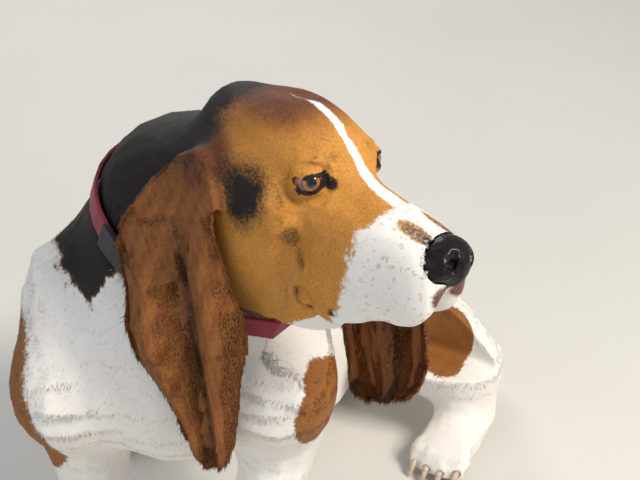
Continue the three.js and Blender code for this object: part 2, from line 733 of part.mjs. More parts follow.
// Head, muzzle and lower jaw
cuts.muzzle = planeCut(inHead(16, 0, 0), vec(1, 0, 0).transformDirection(headFrame));
const jawForms = together(
  [
    limb(inHead(34, 0, -68), 20, inHead(70, 0, -71), 15),
    limb(inHead(64, 0, -72), 15, inHead(82, 0, -71), 11),
  ],
  8,
);
const jawBox = around(inHead(56, 0, -70), 60);
const eyeRooms = both((s) => ball(s, GAP).add(lidRing(s, GAP)));
const headWhole = drawnSolid(faceShape, ...boxes.head, HEAD_CELL);
const headPiece = eyeRooms.reduce(
  (rest, room) => rest.subtract(room),
  headWhole.intersect(cuts.head.small).subtract(cuts.muzzle.large).subtract(collarRoom),
);
const jawWhole = drawnSolid(jawForms, ...jawBox, MUZZLE_CELL);
const muzzlePiece = drawnSolid(faceShape, ...boxes.head, MUZZLE_CELL)
  .intersect(cuts.muzzle.small)
  .subtract(drawnSolid(jawForms, ...jawBox, MUZZLE_CELL, 3 * GAP))
  .subtract(drawnSolid(noseForms, ...around(noseMiddle, 34), NOSE_CELL, 2 * GAP));
add("head", largest(headPiece), "tan");
add("muzzle", largest(muzzlePiece), "white");
add("lower_jaw", largest(jawWhole.intersect(cuts.muzzle.small)), "white");
add("nose", largest(drawnSolid(noseShape, ...around(noseMiddle, 34), NOSE_CELL)), "nose");
for (const [side, s] of Object.entries(sides)) {
  const eyeball = solidFrom(
    new THREE.IcosahedronGeometry(EYE_RADIUS, 2),
    headFrame.clone().multiply(new THREE.Matrix4().makeTranslation(...eyeAt(s))),
  );
  add("eye_" + side, eyeball, "eye");
  add("eyelids_" + side, largest(lidRing(s, 0).subtract(ball(s, GAP))), "brown");
}

// Ears: a leaf that hangs from the side of the head. A row holds its back edge and its front edge
const EAR_ROWS = {
  right: [
    [[19, -6, 482], [46, -37, 472]],
    [[-3, 12, 448], [50, -44, 456]],
    [[-19, 19, 419], [52, -49, 439]],
    [[-29, 12, 390], [57, -50, 417]],
    [[-28, -14, 363], [65, -45, 382]],
    [[-29, -30, 334], [71, -50, 354]],
    [[-21, -40, 311], [74, -53, 330]],
    [[-2, -45, 284], [66, -46, 290]],
    [[11, -44, 254], [62, -42, 251]],
    [[21, -36, 222], [59, -40, 219]],
    [[33, -25, 188], [52, -35, 192]],
  ],
  left: [
    [[104, 71, 470], [128, 53, 466]],
    [[104, 84, 430], [158, 42, 430]],
    [[112, 80, 390], [184, 28, 395]],
    [[122, 68, 350], [205, 10, 360]],
    [[132, 58, 312], [216, -6, 330]],
    [[141, 46, 280], [220, -14, 308]],
    [[145, 32, 256], [222, -17, 280]],
    [[154, 28, 230], [215, -13, 254]],
    [[168, 22, 214], [201, -4, 234]],
  ],
};
const EAR_COLUMNS = 8;
const EAR_BULGE = 16;
const EAR_PLEAT = 14;
function ear(side, s) {
  const forward = vec(1, 0, 0).transformDirection(headFrame).setZ(0).normalize();
  const out = vec(0, 0, 1).cross(forward).multiplyScalar(s);
  const rows = EAR_ROWS[side];
  const grid = rows.map(([back, front], i) =>
    Array.from({ length: EAR_COLUMNS + 1 }, (_, j) => {
      const v = (2 * j) / EAR_COLUMNS - 1;
      const u = i / (rows.length - 1);
      const fall = Math.min(1, u * 2.4);
      const pleat = EAR_PLEAT * Math.exp(-(((v + 0.05) / 0.3) ** 2));
      const bulge = fall * (EAR_BULGE * (1 - v * v) - pleat);
      const point = vec(...back).lerp(vec(...front), (v + 1) / 2).addScaledVector(out, bulge);
      const clear = [-4, 3.5][i] ?? EAR_THICKNESS / 2 + 6;
      const tooNear = () => dogShape(...point.toArray()) < clear;
      for (let n = 0; n < 160 && tooNear(); n++) point.addScaledVector(out, 1);
      return point;
    }),
  );
  const last = grid.length - 1;
  const faceOf = (sign) =>
    grid.map((row, i) =>
      row.map((point, j) => {
        const down = grid[Math.min(i + 1, last)][j].clone().sub(grid[Math.max(i - 1, 0)][j]);
        const across = row[Math.min(j + 1, EAR_COLUMNS)].clone().sub(row[Math.max(j - 1, 0)]);
        const rim = i === last || j === 0 || j === EAR_COLUMNS ? 0.7 : 1;
        const half = (sign * rim * EAR_THICKNESS) / 2;
        return point.clone().addScaledVector(down.cross(across).normalize(), half);
      }),
    );
  const [inner, outer] = [faceOf(-1), faceOf(1)];
  return lofted(inner.map((row, i) => [...row, ...outer[i].slice().reverse()]));
}
for (const [side, s] of Object.entries(sides)) {
  const root = vec(...EAR_ROWS[side][0][0]);
  const headNear = drawnSolid(faceShape, ...around(root, 70), HEAD_CELL, 2 * GAP);
  add("ear_" + side, largest(ear(side, s).subtract(headNear).subtract(collarEnvelope)), "brown");
}

// The dog stands with the middle of its footprint at the origin
const bounds = new THREE.Box3().setFromObject(group);
const middle = bounds.getCenter(vec(0, 0, 0));
group.children.forEach((node) => node.position.set(-middle.x, -middle.y, -bounds.min.z));

export default group;
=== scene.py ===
# %% [markdown]
# # A basset hound, sitting
# A life-size basset hound sits with its chest to the camera and its head turned to its left: one
# soft skin, a coat of fine tufts, wet eyes, a nose, claws, whiskers and a woven collar. This first
# cell loads the fixed frame that every piece has to fit. A living animal could be sculpted by hand.
# In code each measure has a name and a place where it can be changed.

# %% Load the frame
import math

import bpy
import numpy as np
from mathutils import Matrix, Vector
from mathutils.kdtree import KDTree


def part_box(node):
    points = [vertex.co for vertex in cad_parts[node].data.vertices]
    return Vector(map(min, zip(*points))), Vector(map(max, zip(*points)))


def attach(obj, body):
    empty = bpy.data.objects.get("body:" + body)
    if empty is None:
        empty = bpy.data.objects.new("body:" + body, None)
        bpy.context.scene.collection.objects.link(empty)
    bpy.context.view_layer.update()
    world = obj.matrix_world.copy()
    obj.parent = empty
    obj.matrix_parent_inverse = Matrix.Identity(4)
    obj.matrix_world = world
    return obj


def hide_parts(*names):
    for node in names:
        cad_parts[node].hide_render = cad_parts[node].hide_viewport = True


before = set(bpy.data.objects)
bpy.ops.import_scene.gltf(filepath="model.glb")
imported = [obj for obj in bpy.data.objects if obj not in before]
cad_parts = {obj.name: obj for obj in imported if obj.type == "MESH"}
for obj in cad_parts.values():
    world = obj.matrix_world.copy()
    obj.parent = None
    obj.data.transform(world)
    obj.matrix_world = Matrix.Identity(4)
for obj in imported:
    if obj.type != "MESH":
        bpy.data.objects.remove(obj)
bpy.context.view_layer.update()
MM = 0.001
scene = bpy.context.scene


def corners(node):
    """The two corners of a part, as arrays in metres."""
    low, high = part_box(node)
    return np.array(low, float), np.array(high, float)


print("parts in the frame:", len(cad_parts))

# %% [markdown]
# ## Where things are
# The head is turned, so its features are easiest to place in a frame of its own: x runs from the
# eyes to the nose, y to the dog's left and z up. Its place comes from the eyes. The body has a
# second frame, with its origin under the chest. World places would do for one pose, but these two
# let the left and the right side share their numbers.

# %% The head's frame and the body's
HEAD_TURN, HEAD_NOD, HEAD_TILT = 49.8, -0.5, -7.0
EYES_FROM_CHEST = np.array([147.0, -33.0, 474.0])
EYE = np.array([-5.0, 34.0, 3.0])
EYE_RADIUS = 12.5

facing = math.radians(HEAD_TURN - 90)
head_turn = np.array(
    Matrix.Rotation(facing, 3, "Z")
    @ Matrix.Rotation(math.radians(HEAD_NOD), 3, "Y")
    @ Matrix.Rotation(math.radians(HEAD_TILT), 3, "X")
)
eye_middles = [sum(corners(f"eye_{side}")) / 2 for side in ("left", "right")]
between_eyes = sum(eye_middles) / 2 / MM
body_origin = between_eyes - EYES_FROM_CHEST - head_turn @ np.array([EYE[0], 0, EYE[2]])
head_origin = body_origin + EYES_FROM_CHEST
SIDES = {"left": 1, "right": -1}


# %% From one frame to another
def in_head(points):
    """Points in metres, as millimetres in the head's frame."""
    return (np.asarray(points) / MM - head_origin) @ head_turn


def in_body(points):
    """Points in metres, as millimetres from the spot under the chest."""
    return np.asarray(points) / MM - body_origin


def from_head(points):
    return (np.asarray(points, float) @ head_turn.T + head_origin) * MM


def from_body(points):
    return (np.asarray(points, float) + body_origin) * MM


def ramp(values, low, high):
    """A smooth step from 0 at low to 1 at high."""
    t = np.clip((values - low) / (high - low), 0, 1)
    return t * t * (3 - 2 * t)


def bell(values, width):
    """1 at 0, falling off softly over this width to both sides."""
    return np.exp(-((values / width) ** 2))


def norms(rows):
    """The length of each row."""
    return np.linalg.norm(rows, axis=1)


def blob(points, centre, halves):
    """1 in the middle of an egg, falling to 0 at its rim."""
    r = np.linalg.norm((points - np.array(centre)) / np.array(halves), axis=1)
    return ramp(1 - r, 0, 1)


print("between the eyes:", from_head([0, 0, 0]).round(3))

# %% [markdown]
# ## Camera, floor and light
# The photograph was taken from about a metre up with a long lens, looking down at thirty degrees.
# The floor is a pale sheet that curves up far behind the dog. A picture of a sky could light the
# scene, but three area lights are easier to steer: a warm key from the right, a wide cool fill from
# the left, and a rim light that draws the outline.

# %% Camera
SENSOR_MM, PICTURE_WIDE = 36, 640
CAMERA = dict(place=(130.0, -954.0, 948.0), pitch=30.0, focal_pixels=1350.0)

camera_data = bpy.data.cameras.new("camera")
camera_data.sensor_width = SENSOR_MM
camera_data.lens = CAMERA["focal_pixels"] * SENSOR_MM / PICTURE_WIDE
camera = bpy.data.objects.new("camera", camera_data)
camera.location = from_body(CAMERA["place"])
camera.rotation_euler = (math.radians(90 - CAMERA["pitch"]), 0, 0)
scene.collection.objects.link(camera)
scene.camera = camera


# %% Helpers for materials and meshes
def put(tree, value, socket):
    """Gives a socket a number, a colour or what comes out of another node."""
    if isinstance(value, bpy.types.NodeSocket):
        tree.links.new(value, socket)
    else:
        socket.default_value = (*value, 1) if isinstance(value, tuple) else value


def filled(tree, made, settings):
    """The node with these inputs and settings, where _ stands for a space."""
    for key, value in settings.items():
        name = key.replace("_", " ")
        if name in made.inputs:
            put(tree, value, made.inputs[name])
        else:
            setattr(made, key, value)
    return made


def node(tree, kind, **settings):
    return filled(tree, tree.nodes.new(kind), settings)


def principled(name, **settings):
    """A new material, its nodes and its shader."""
    material = bpy.data.materials.new(name)
    material.use_nodes = True
    tree = material.node_tree
    return material, tree, filled(tree, tree.nodes["Principled BSDF"], settings)


def make_mesh(name, points, faces):
    """A new object at the origin with this mesh in it."""
    mesh = bpy.data.meshes.new(name)
    points, faces = np.asarray(points, np.float32), np.asarray(faces, np.int32)
    count = len(faces)
    mesh.vertices.add(len(points))
    mesh.vertices.foreach_set("co", points.ravel())
    mesh.loops.add(count * faces.shape[1])
    mesh.loops.foreach_set("vertex_index", faces.ravel())
    mesh.polygons.add(count)
    mesh.polygons.foreach_set("loop_start", np.arange(count, dtype=np.int32) * faces.shape[1])
    mesh.update(calc_edges=True)
    mesh.validate()
    made = bpy.data.objects.new(name, mesh)
    scene.collection.objects.link(made)
    return made


def noise_of(tree, scale, place, detail=2.0, rough=0.5):
    """The value of a noise texture at this place."""
    look = dict(Scale=scale, Detail=detail, Roughness=rough)
    return node(tree, "ShaderNodeTexNoise", Vector=place, **look).outputs["Fac"]


def object_place(tree):
    return node(tree, "ShaderNodeTexCoord").outputs["Object"]


def mottled(name, scale, dark, light, detail=2.0, **settings):
    """A material whose colour wanders between these two, its nodes and its shader."""
    material, tree, shader = principled(name, **settings)
    tint = node(tree, "ShaderNodeValToRGB", Fac=noise_of(tree, scale, object_place(tree), detail))
    tint.color_ramp.elements[0].color = (*dark, 1)
    tint.color_ramp.elements[1].color = (*light, 1)
    put(tree, tint.outputs["Color"], shader.inputs["Base Color"])
    return material, tree, shader


def add_bump(tree, shader, height, strength, distance):
    """Lights the surface as if it had this height."""
    bump = node(tree, "ShaderNodeBump", Height=height, Strength=strength, Distance=distance)
    put(tree, bump.outputs["Normal"], shader.inputs["Normal"])


# %% Floor
SWEEP = [(-3.0, 0.0), (1.6, 0.0), (2.4, 0.08), (3.0, 0.4), (3.3, 1.0), (3.4, 2.6)]
FLOOR_HALF = 4.0
floor_points = [(x, y, z) for y, z in SWEEP for x in (-FLOOR_HALF, FLOOR_HALF)]
floor_faces = [(2 * i, 2 * i + 1, 2 * i + 3, 2 * i + 2) for i in range(len(SWEEP) - 1)]
floor = make_mesh("floor", floor_points, floor_faces)
floor.data.shade_smooth()
sheet = mottled("studio_floor", 3.0, (0.62, 0.60, 0.56), (0.68, 0.66, 0.62), Roughness=0.75)
floor.data.materials.append(sheet[0])
print("floor of", len(floor_faces), "strips")


# %% Lights
def area_light(name, place, target, size, power, colour):
    """A square light of this size in metres and power in watts, turned to its target."""
    data = bpy.data.lights.new(name, "AREA")
    data.size, data.energy, data.color = size, power, colour
    light = bpy.data.objects.new(name, data)
    light.location = place
    way = Vector(target) - Vector(place)
    light.rotation_euler = way.to_track_quat("-Z", "Y").to_euler()
    scene.collection.objects.link(light)


aim = tuple(from_body((60, 40, 330)))
area_light("key", (1.5, -1.0, 1.9), aim, 0.8, 64, (1.0, 0.94, 0.84))
area_light("fill", (-2.0, -1.8, 1.2), aim, 2.6, 22, (0.88, 0.93, 1.0))
area_light("rim", (-0.6, 2.1, 1.7), aim, 1.2, 24, (1.0, 0.98, 0.94))
scene.view_settings.view_transform = "Standard"
world = bpy.data.worlds.new("studio") if not bpy.data.worlds else bpy.data.worlds[0]
scene.world = world
world.use_nodes = True
background = world.node_tree.nodes["Background"]
background.inputs["Color"].default_value = (0.8, 0.86, 0.95, 1)
background.inputs["Strength"].default_value = 0.40
print("camera at", [round(v, 3) for v in camera.location])

# %% [markdown]
# ## The skin
# A dog has one skin from nose to tail. It starts as the frame's own solids of the flesh, swollen by
# half a millimetre so that the gaps between them close, with muscle where each ear meets the skull.
# Boolean unions could join them, but they keep every facet and seam. A voxel remesh makes one
# surface whose facets can be relaxed away.

# %% The parts of flesh
NOT_FLESH = ("collar", "eye_", "nose")
SKIN_VOXEL, SWELL = 0.0023, 0.0005
FLESH = [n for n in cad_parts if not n.startswith(NOT_FLESH) and "claw" not in n]


# %% Copying, joining and remeshing
def deselect():
    bpy.ops.object.select_all(action="DESELECT")


def select_only(*targets):
    """An operator acts on all that is selected, so the rest is deselected first."""
    deselect()
    for target in targets:
        target.select_set(True)
    bpy.context.view_layer.objects.active = targets[0]


def in_edit_mode(target):
    """Edit mode on this piece alone, with all of it selected."""
    select_only(target)
    bpy.ops.object.mode_set(mode="EDIT")
    bpy.ops.mesh.select_all(action="SELECT")


def copied(names, swell):
    """One new object made of copies of these parts, each swollen a little."""
    parts = []
    for name in names:
        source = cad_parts[name]
        mesh = source.data.copy()
        merged = bpy.data.objects.new("part_" + name, mesh)
        merged.matrix_world = source.matrix_world.copy()
        scene.collection.objects.link(merged)
        in_edit_mode(merged)
        bpy.ops.mesh.remove_doubles(threshold=1e-6)
        bpy.ops.mesh.normals_make_consistent(inside=False)
        bpy.ops.transform.shrink_fatten(value=swell)
        bpy.ops.object.mode_set(mode="OBJECT")
        parts.append(merged)
    select_only(*parts)
    bpy.ops.object.join()
    bpy.ops.object.transform_apply(location=True, rotation=True, scale=True)
    return bpy.context.view_layer.objects.active


def remeshed(target, voxel):
    remesh = target.modifiers.new("remesh", "REMESH")
    remesh.mode = "VOXEL"
    remesh.voxel_size = voxel
    remesh.adaptivity = 0
    select_only(target)
    bpy.ops.object.modifier_apply(modifier=remesh.name)


# %% Reading, writing and relaxing points
def read(items, name, size, kind=np.float32):
    """One property of all these items, as rows of an array."""
    flat = np.empty(len(items) * size, kind)
    items.foreach_get(name, flat)
    return flat.reshape(-1, size)


def points_of(target):
    return read(target.data.vertices, "co", 3).astype(float)


def normals_of(target):
    return read(target.data.vertex_normals, "vector", 3).astype(float)


def put_points(target, points):
    target.data.vertices.foreach_set("co", points.astype(np.float32).ravel())
    target.data.update()


RELAX_IN, RELAX_OUT = 0.6, -0.63


def relaxed(target, points, passes, share, shrink=1.0):
    """Each point moves to the mean of its neighbours, and back out so that nothing shrinks."""
    a, b = read(target.data.edges, "vertices", 2, np.int32).T
    count = np.bincount(a, minlength=len(points)) + np.bincount(b, minlength=len(points))
    count = np.maximum(count, 1)
    for _ in range(passes):
        for step in (RELAX_IN, RELAX_OUT * shrink):
            mean = np.empty_like(points)
            for axis in range(3):
                along = points[:, axis]
                total = np.bincount(a, along[b], len(points))
                total += np.bincount(b, along[a], len(points))
                mean[:, axis] = total / count
            points = points + (mean - points) * step * share[:, None]
    return points


# %% Muscle at the root of each ear
# Its middle in the body's frame, for the left and the right side, and its half sizes, in mm
EAR_BASES = {1: (113.0, 58.0, 458.0), -1: (36.0, -17.0, 464.0)}
EAR_BASE_HALVES = (27.0, 13.0, 25.0)
EAR_BASE_IN = 3


def ear_outward(s):
    """The way that an ear faces, level and away from the head."""
    out = head_turn @ np.array([0.0, s, 0.0])
    out[2] = 0
    return out / np.linalg.norm(out)


def ear_base(s):
    """An egg of muscle, turned with the head."""
    deselect()
    place = from_body(np.array(EAR_BASES[s]) - EAR_BASE_IN * ear_outward(s))
    bpy.ops.mesh.primitive_uv_sphere_add(segments=32, ring_count=20, radius=MM, location=place)
    base = bpy.context.view_layer.objects.active
    base.scale = EAR_BASE_HALVES
    base.rotation_euler = (0, 0, facing)
    bpy.ops.object.transform_apply(location=True, rotation=True, scale=True)
    return base


# %% One skin
bases = [ear_base(s) for s in SIDES.values()]
skin = copied(FLESH, SWELL)
for base in bases:
    base.select_set(True)
bpy.ops.object.join()
skin.name = "skin"
remeshed(skin, SKIN_VOXEL)
print("skin:", len(skin.data.vertices), "points")

# %% Relax the facets away
def foot_share(points):
    """1 at the floor, 0 above the wrists."""
    return 1 - ramp(in_body(points)[:, 2], 30, 75)


skin_points = points_of(skin)
skin_points = relaxed(skin, skin_points, 34, np.clip(1 - 0.45 * foot_share(skin_points), 0.05, 1))
body_place = in_body(skin_points)
for s in SIDES.values():
    joining = blob(body_place, np.array(EAR_BASES[s]) + (0, 0, 8), (46, 46, 40))
    skin_points = relaxed(skin, skin_points, 26, np.clip(2 * joining, 0, 1), shrink=0.75)
put_points(skin, skin_points)
print("relaxed the skin")

# %% [markdown]
# ## Eyelids
# Each eye looks out of an almond opening with a slack lower lid. Lids could be pieces of their own,
# but their edges would show on the face, so they are shaped in the skin, which is first divided
# finer there. Its points are laid on a shell just outside the eyeball, and those inside the almond
# go back behind the ball, which leaves a crisp rim to each lid.

# %% The opening of an eye
# The almond's ends, arches, slant in degrees and middle, forward and up of the eye's middle, in mm
ALMOND = dict(outer=-9.4, inner=10.0, top=4.3, bottom=-5.6, tilt=42.0, middle=(3.0, 0.2))


def eye_axes(s):
    """The eye's middle, and its forward, upward and outward ways, in the head's frame."""
    out = np.array([0.50, s * 0.86, 0.06])
    out /= np.linalg.norm(out)
    forward = np.array([0.86, s * -0.50, -0.10])
    forward -= out * (forward @ out)
    forward /= np.linalg.norm(forward)
    up = np.cross(forward, out) * -s
    return EYE * (1, s, 1), forward, up * np.sign(up[2]), out


def in_eye(places, s):
    """Places in the head's frame, as mm forward, up and out from the middle of an eye."""
    middle, *axes = eye_axes(s)
    return [(places - middle) @ axis for axis in axes]


def beyond_almond(a, b):
    """How far in mm a place, forward and up of the eye's middle, is outside the almond."""
    a, b = a - ALMOND["middle"][0], b - ALMOND["middle"][1]
    slant = math.radians(ALMOND["tilt"])
    along = a * math.cos(slant) + b * math.sin(slant)
    over = b * math.cos(slant) - a * math.sin(slant)
    t = np.clip((along - ALMOND["outer"]) / (ALMOND["inner"] - ALMOND["outer"]), 0, 1)
    arch = np.sin(np.pi * t) ** 0.75
    sideways = np.maximum(ALMOND["outer"] - along, along - ALMOND["inner"])
    above, below = over - ALMOND["top"] * arch, ALMOND["bottom"] * arch - over
    return np.maximum.reduce([above, below, sideways])


# %% Finer skin round the eyes
def nearest_of(points, places):
    """How far each point is from the nearest of these places."""
    return np.min([norms(points - place) for place in places], axis=0)


def divide_near(target, places, reach, times):
    """Each face near the places becomes four, a few times over, in a shrinking reach."""
    for i in range(times):
        mesh = target.data
        in_edit_mode(target)
        bpy.ops.mesh.select_mode(type="FACE")
        bpy.ops.mesh.select_all(action="DESELECT")
        bpy.ops.object.mode_set(mode="OBJECT")
        middles = in_head(read(mesh.polygons, "center", 3))
        near = nearest_of(middles, places) < reach - 3 * i
        mesh.polygons.foreach_set("select", near)
        bpy.ops.object.mode_set(mode="EDIT")
        bpy.ops.mesh.subdivide(number_cuts=1, smoothness=0)
        bpy.ops.object.mode_set(mode="OBJECT")


BOTH_EYES = [EYE * (1, s, 1) for s in SIDES.values()]
divide_near(skin, BOTH_EYES, 27, 2)
skin_points = points_of(skin)
head_place = in_head(skin_points)
near_eyes = sum(
    blob(head_place, (EYE[0] + 2, s * (EYE[1] + 6), EYE[2]), (30, 26, 26)) for s in SIDES.values()
)
skin_points = relaxed(skin, skin_points, 12, np.clip(near_eyes * 2, 0, 1))
print("divided the skin near the eyes:", len(skin_points), "points")

# %% Lids over the eyeballs
# The lid's height over the ball and how far its shape reaches, then the least skin over the ball
# and how far the skin in the opening goes below the ball's surface, in mm
LID_SHELL, LID_REACH = 1.3, 15.0
BALL_COVER, BALL_SINK = 0.9, 2.6
FAR = 99.0


def over_ball(points, s):
    """Points in the head's frame, with those outside the opening lifted clear of the eyeball."""
    a, b, c = in_eye(points, s)
    cover = np.sqrt(np.maximum((EYE_RADIUS + BALL_COVER) ** 2 - a**2 - b**2, 0))
    covers = (c > -17) & (cover > 0) & (beyond_almond(a, b) > 0.6)
    lifted = np.where(covers, np.maximum(cover - c, 0), 0)
    return points + lifted[:, None] * eye_axes(s)[3]


head_place = in_head(skin_points)
lid_edge = np.full(len(skin_points), FAR)
for s in SIDES.values():
    a, b, c = in_eye(head_place, s)
    beyond = beyond_almond(a, b)
    front = (c > -8) & (np.abs(a) < 26) & (np.abs(b) < 24)
    opening = front & (beyond < 0)
    flat = np.hypot(a, b)
    shell = np.sqrt(np.maximum((EYE_RADIUS + LID_SHELL) ** 2 - flat**2, 4.0))
    puff = 1.2 * bell(beyond - 4.0, 2.6)
    puff -= 0.5 * bell(beyond - 8.5, 2.2)
    puff -= 2.2 * bell(a - 15, 5) * bell(b - 1, 4)
    hold = 1 - ramp(beyond, 2.5, LID_REACH)
    behind = np.sqrt(np.maximum((EYE_RADIUS - BALL_SINK) ** 2 - flat**2, 1.0)) - 1.5
    sunk = np.minimum(np.where(beyond < 0, behind, shell + puff), c + 13.0)
    moved = c + (sunk - c) * hold
    moved = np.where(front, moved, c)
    head_place = over_ball(head_place + (moved - c)[:, None] * eye_axes(s)[3], s)
    lid_edge = np.where(front, np.minimum(lid_edge, np.abs(beyond)), lid_edge)
    lid_edge = np.where(opening, 0, lid_edge)
skin_points = from_head(head_place)
loose = np.clip(3 * near_eyes, 0, 1) * ramp(lid_edge, 1.4, 3.4)
skin_points = relaxed(skin, skin_points, 60, loose, shrink=0.8)
skin_points = from_head(over_ball(over_ball(in_head(skin_points), 1), -1))
put_points(skin, skin_points)
keep = 1 - ramp(lid_edge, 4, 12)
print("shaped the lids:", int((lid_edge < 4).sum()), "points at their rims")

# %% [markdown]
# ## Ears
# The ears are thin and soft, and hang in folds along their length. The skin finds its points on an
# ear, here and for the colours, by the frame's own ears. A cloth simulation could fold them, but a
# few soft ridges give the same folds each run. Both faces of the leaf move together, so its
# thickness stays.

# %% Which points are on an ear
CLOUD_STEP = 0.004
EAR_NEAR, EAR_FAR = 0.0046, 0.0066


def ear_share(points):
    """1 on an ear, 0 elsewhere: how close a point is to the frame's own ear."""
    share = np.zeros(len(points))
    for side in SIDES:
        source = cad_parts["ear_" + side]
        places = [np.array(source.matrix_world @ vertex.co) for vertex in source.data.vertices]
        cloud = []
        for polygon in source.data.polygons:
            first, second, third = [places[i] for i in polygon.vertices[:3]]
            one, two = second - first, third - first
            n = max(1, *(int(np.linalg.norm(edge) / CLOUD_STEP) for edge in (one, two)))
            for i in range(n + 1):
                cloud += [first + one * i / n + two * j / n for j in range(n + 1 - i)]
        tree = KDTree(len(cloud))
        for i, place in enumerate(cloud):
            tree.insert(place, i)
        tree.balance()
        low, high = corners("ear_" + side)
        inside = np.where(((points > low - 0.01) & (points < high + 0.01)).all(axis=1))[0]
        distance = np.array([tree.find(points[i])[2] for i in inside])
        share[inside] = np.maximum(share[inside], 1 - ramp(distance, EAR_NEAR, EAR_FAR))
    return share


# %% Folds along the ears
# Each ridge: its place across the ear, from -1 to 1, its width there, and its height in mm
EAR_RIDGES = [(0.64, 0.24, 5.4), (0.24, 0.16, -3.4), (-0.42, 0.28, 4.0), (-0.84, 0.14, -2.0)]


def folded_ears(points, ears):
    """The ears' points moved into lengthwise ridges, and how deep in a valley each one is, for
    painted shade.
    """
    place = in_body(points)
    valley_shade = np.zeros(len(points))
    sideways = in_head(points)[:, 1]
    for s in SIDES.values():
        out = ear_outward(s)
        along = np.array([-out[1], out[0], 0]) * -s
        own = np.where((ears > 0.3) & (sideways * s > 0))[0]
        height, reach = place[own, 2], place[own] @ along
        levels = np.arange(height.min(), height.max(), 8.0)
        near = [np.abs(height - level) < 8 for level in levels]
        low = np.interp(height, levels, [reach[n].min() for n in near])
        high = np.interp(height, levels, [reach[n].max() for n in near])
        across = 2 * (reach - low) / (high - low) - 1
        down = (height.max() - height) / (height.max() - height.min())
        fall = ramp(down, 0.10, 0.35)
        shift = sum(size * bell(across - at, wide) for at, wide, size in EAR_RIDGES)
        shift = fall * shift + 1.8 * ramp(down, 0.5, 1.0) * np.sin(5 * across + 9 * down)
        place[own] += (shift * ears[own])[:, None] * out
        # How deep a point lies in a valley, later painted on the ear as shade.
        valley_shade[own] = ramp(-shift, -0.5, 3.0)
    return (place + body_origin) * MM, valley_shade


skin_ears = ear_share(skin_points)
skin_points, ear_valley_shade = folded_ears(skin_points, skin_ears)
put_points(skin, skin_points)
print("points on the ears:", int((skin_ears > 0.5).sum()))

# %% [markdown]
# ## Lids, folds and lips
# The face is finished by moving points of the skin: brows, the drooping lower lid, folds on the
# cheek, whisker pits and a mole. A sculptor would brush these in. Here each is a soft push in or
# out around a short curve, mirrored to the other side. At the end the skin is drawn in by the depth
# of the coat to come, least on the face and the feet.

# %% How far a point is from a curve
def polyline_distance(points, line):
    """Distance in mm from each point to a line through corners, and how far along it."""
    best = np.full(len(points), 1e9)
    place = np.zeros(len(points))
    line = np.asarray(line, float)
    for i in range(len(line) - 1):
        a, d = line[i], line[i + 1] - line[i]
        t = np.clip(((points - a) @ d) / (d @ d), 0, 1)
        r = norms(points - a - t[:, None] * d)
        closer = r < best
        best[closer] = r[closer]
        place[closer] = (i + t[closer]) / (len(line) - 1)
    return best, place


# %% Folds
# Each fold: its line in the head's frame, its width and its push outward, in mm
FOLDS = [
    ([(16, 38, 15), (2, 44, 20), (-14, 47, 16), (-28, 48, 6)], 7.0, 1.5),
    ([(12, 42, 12), (-4, 47, 13), (-18, 49, 5)], 2.6, -0.7),
    ([(14, 36, -12), (2, 44, -16), (-14, 47, -13)], 4.5, 1.5),
    ([(18, 36, -18), (4, 45, -24), (-14, 49, -22), (-26, 50, -14)], 3.0, -1.0),
    ([(20, 34, -30), (8, 42, -44), (-2, 46, -62)], 5.0, 1.1),
    ([(30, 30, -24), (26, 36, -44), (18, 40, -64), (16, 40, -84)], 3.4, -1.1),
    ([(-30, 52, -20), (-22, 54, -44), (-20, 50, -70)], 5.5, 1.3),
    ([(-8, 14, 44), (6, 12, 38), (20, 10, 24)], 5.0, 0.9),
    ([(2, 22, 38), (10, 24, 28), (18, 24, 14)], 3.6, -0.8),
    ([(96, 12, -8), (84, 15, -14), (70, 17, -18)], 4.0, -0.8),
]
skin_normals = normals_of(skin)
head_place = in_head(skin_points)
push = np.zeros(len(skin_points))
for line, width, height in FOLDS:
    for s in SIDES.values():
        distance, place = polyline_distance(head_place, np.array(line) * (1, s, 1))
        fade = np.sin(np.pi * np.clip(place, 0.04, 0.96)) ** 0.5
        push += height * fade * bell(distance, width) * (1 - keep)
print("folds on the face:", len(SIDES) * len(FOLDS))


# %% Whisker pits and a mole
def folded_over(h):
    """Places in the head's frame, with the right side laid on the left."""
    return np.column_stack([h[:, 0], np.abs(h[:, 1]), h[:, 2]])


PIT_WIDTH, PIT_RISE = 2.6, 0.35
pits = np.zeros(len(skin_points))
for s in SIDES.values():
    for row in range(4):
        for column in range(5):
            pit = np.array([56 + 9 * column, s * (34 - 2.4 * column), -44 - 8 * row + 2 * column])
            pits += bell(norms(head_place - pit), PIT_WIDTH)
push += PIT_RISE * np.minimum(pits, 1.0)
MOLE = np.array([-1.0, 35.0, -94.0])
from_mole = norms(folded_over(head_place) - MOLE)
push += 4.6 * bell(from_mole, 6.0) - 2.2 * bell(from_mole - 10, 3)
print("pits:", 2 * 4 * 5)

# %% Room for the coat
COAT_DEPTH = 0.0024
LOWEST = 0.0002
face = blob(head_place, (60, 0, -50), (90, 60, 70))
depth = COAT_DEPTH * (1 - 0.6 * np.clip(face * 2, 0, 1))
depth *= (1 - 0.5 * foot_share(skin_points)) * (1 - 0.95 * keep)
skin_points = skin_points + skin_normals * (push * MM - depth)[:, None]
skin_points[:, 2] = np.maximum(skin_points[:, 2], LOWEST)
put_points(skin, skin_points)
skin.data.shade_smooth()
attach(skin, "root")
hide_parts(*FLESH)
print("drew the skin in by up to", round(depth.max() / MM, 1), "mm")
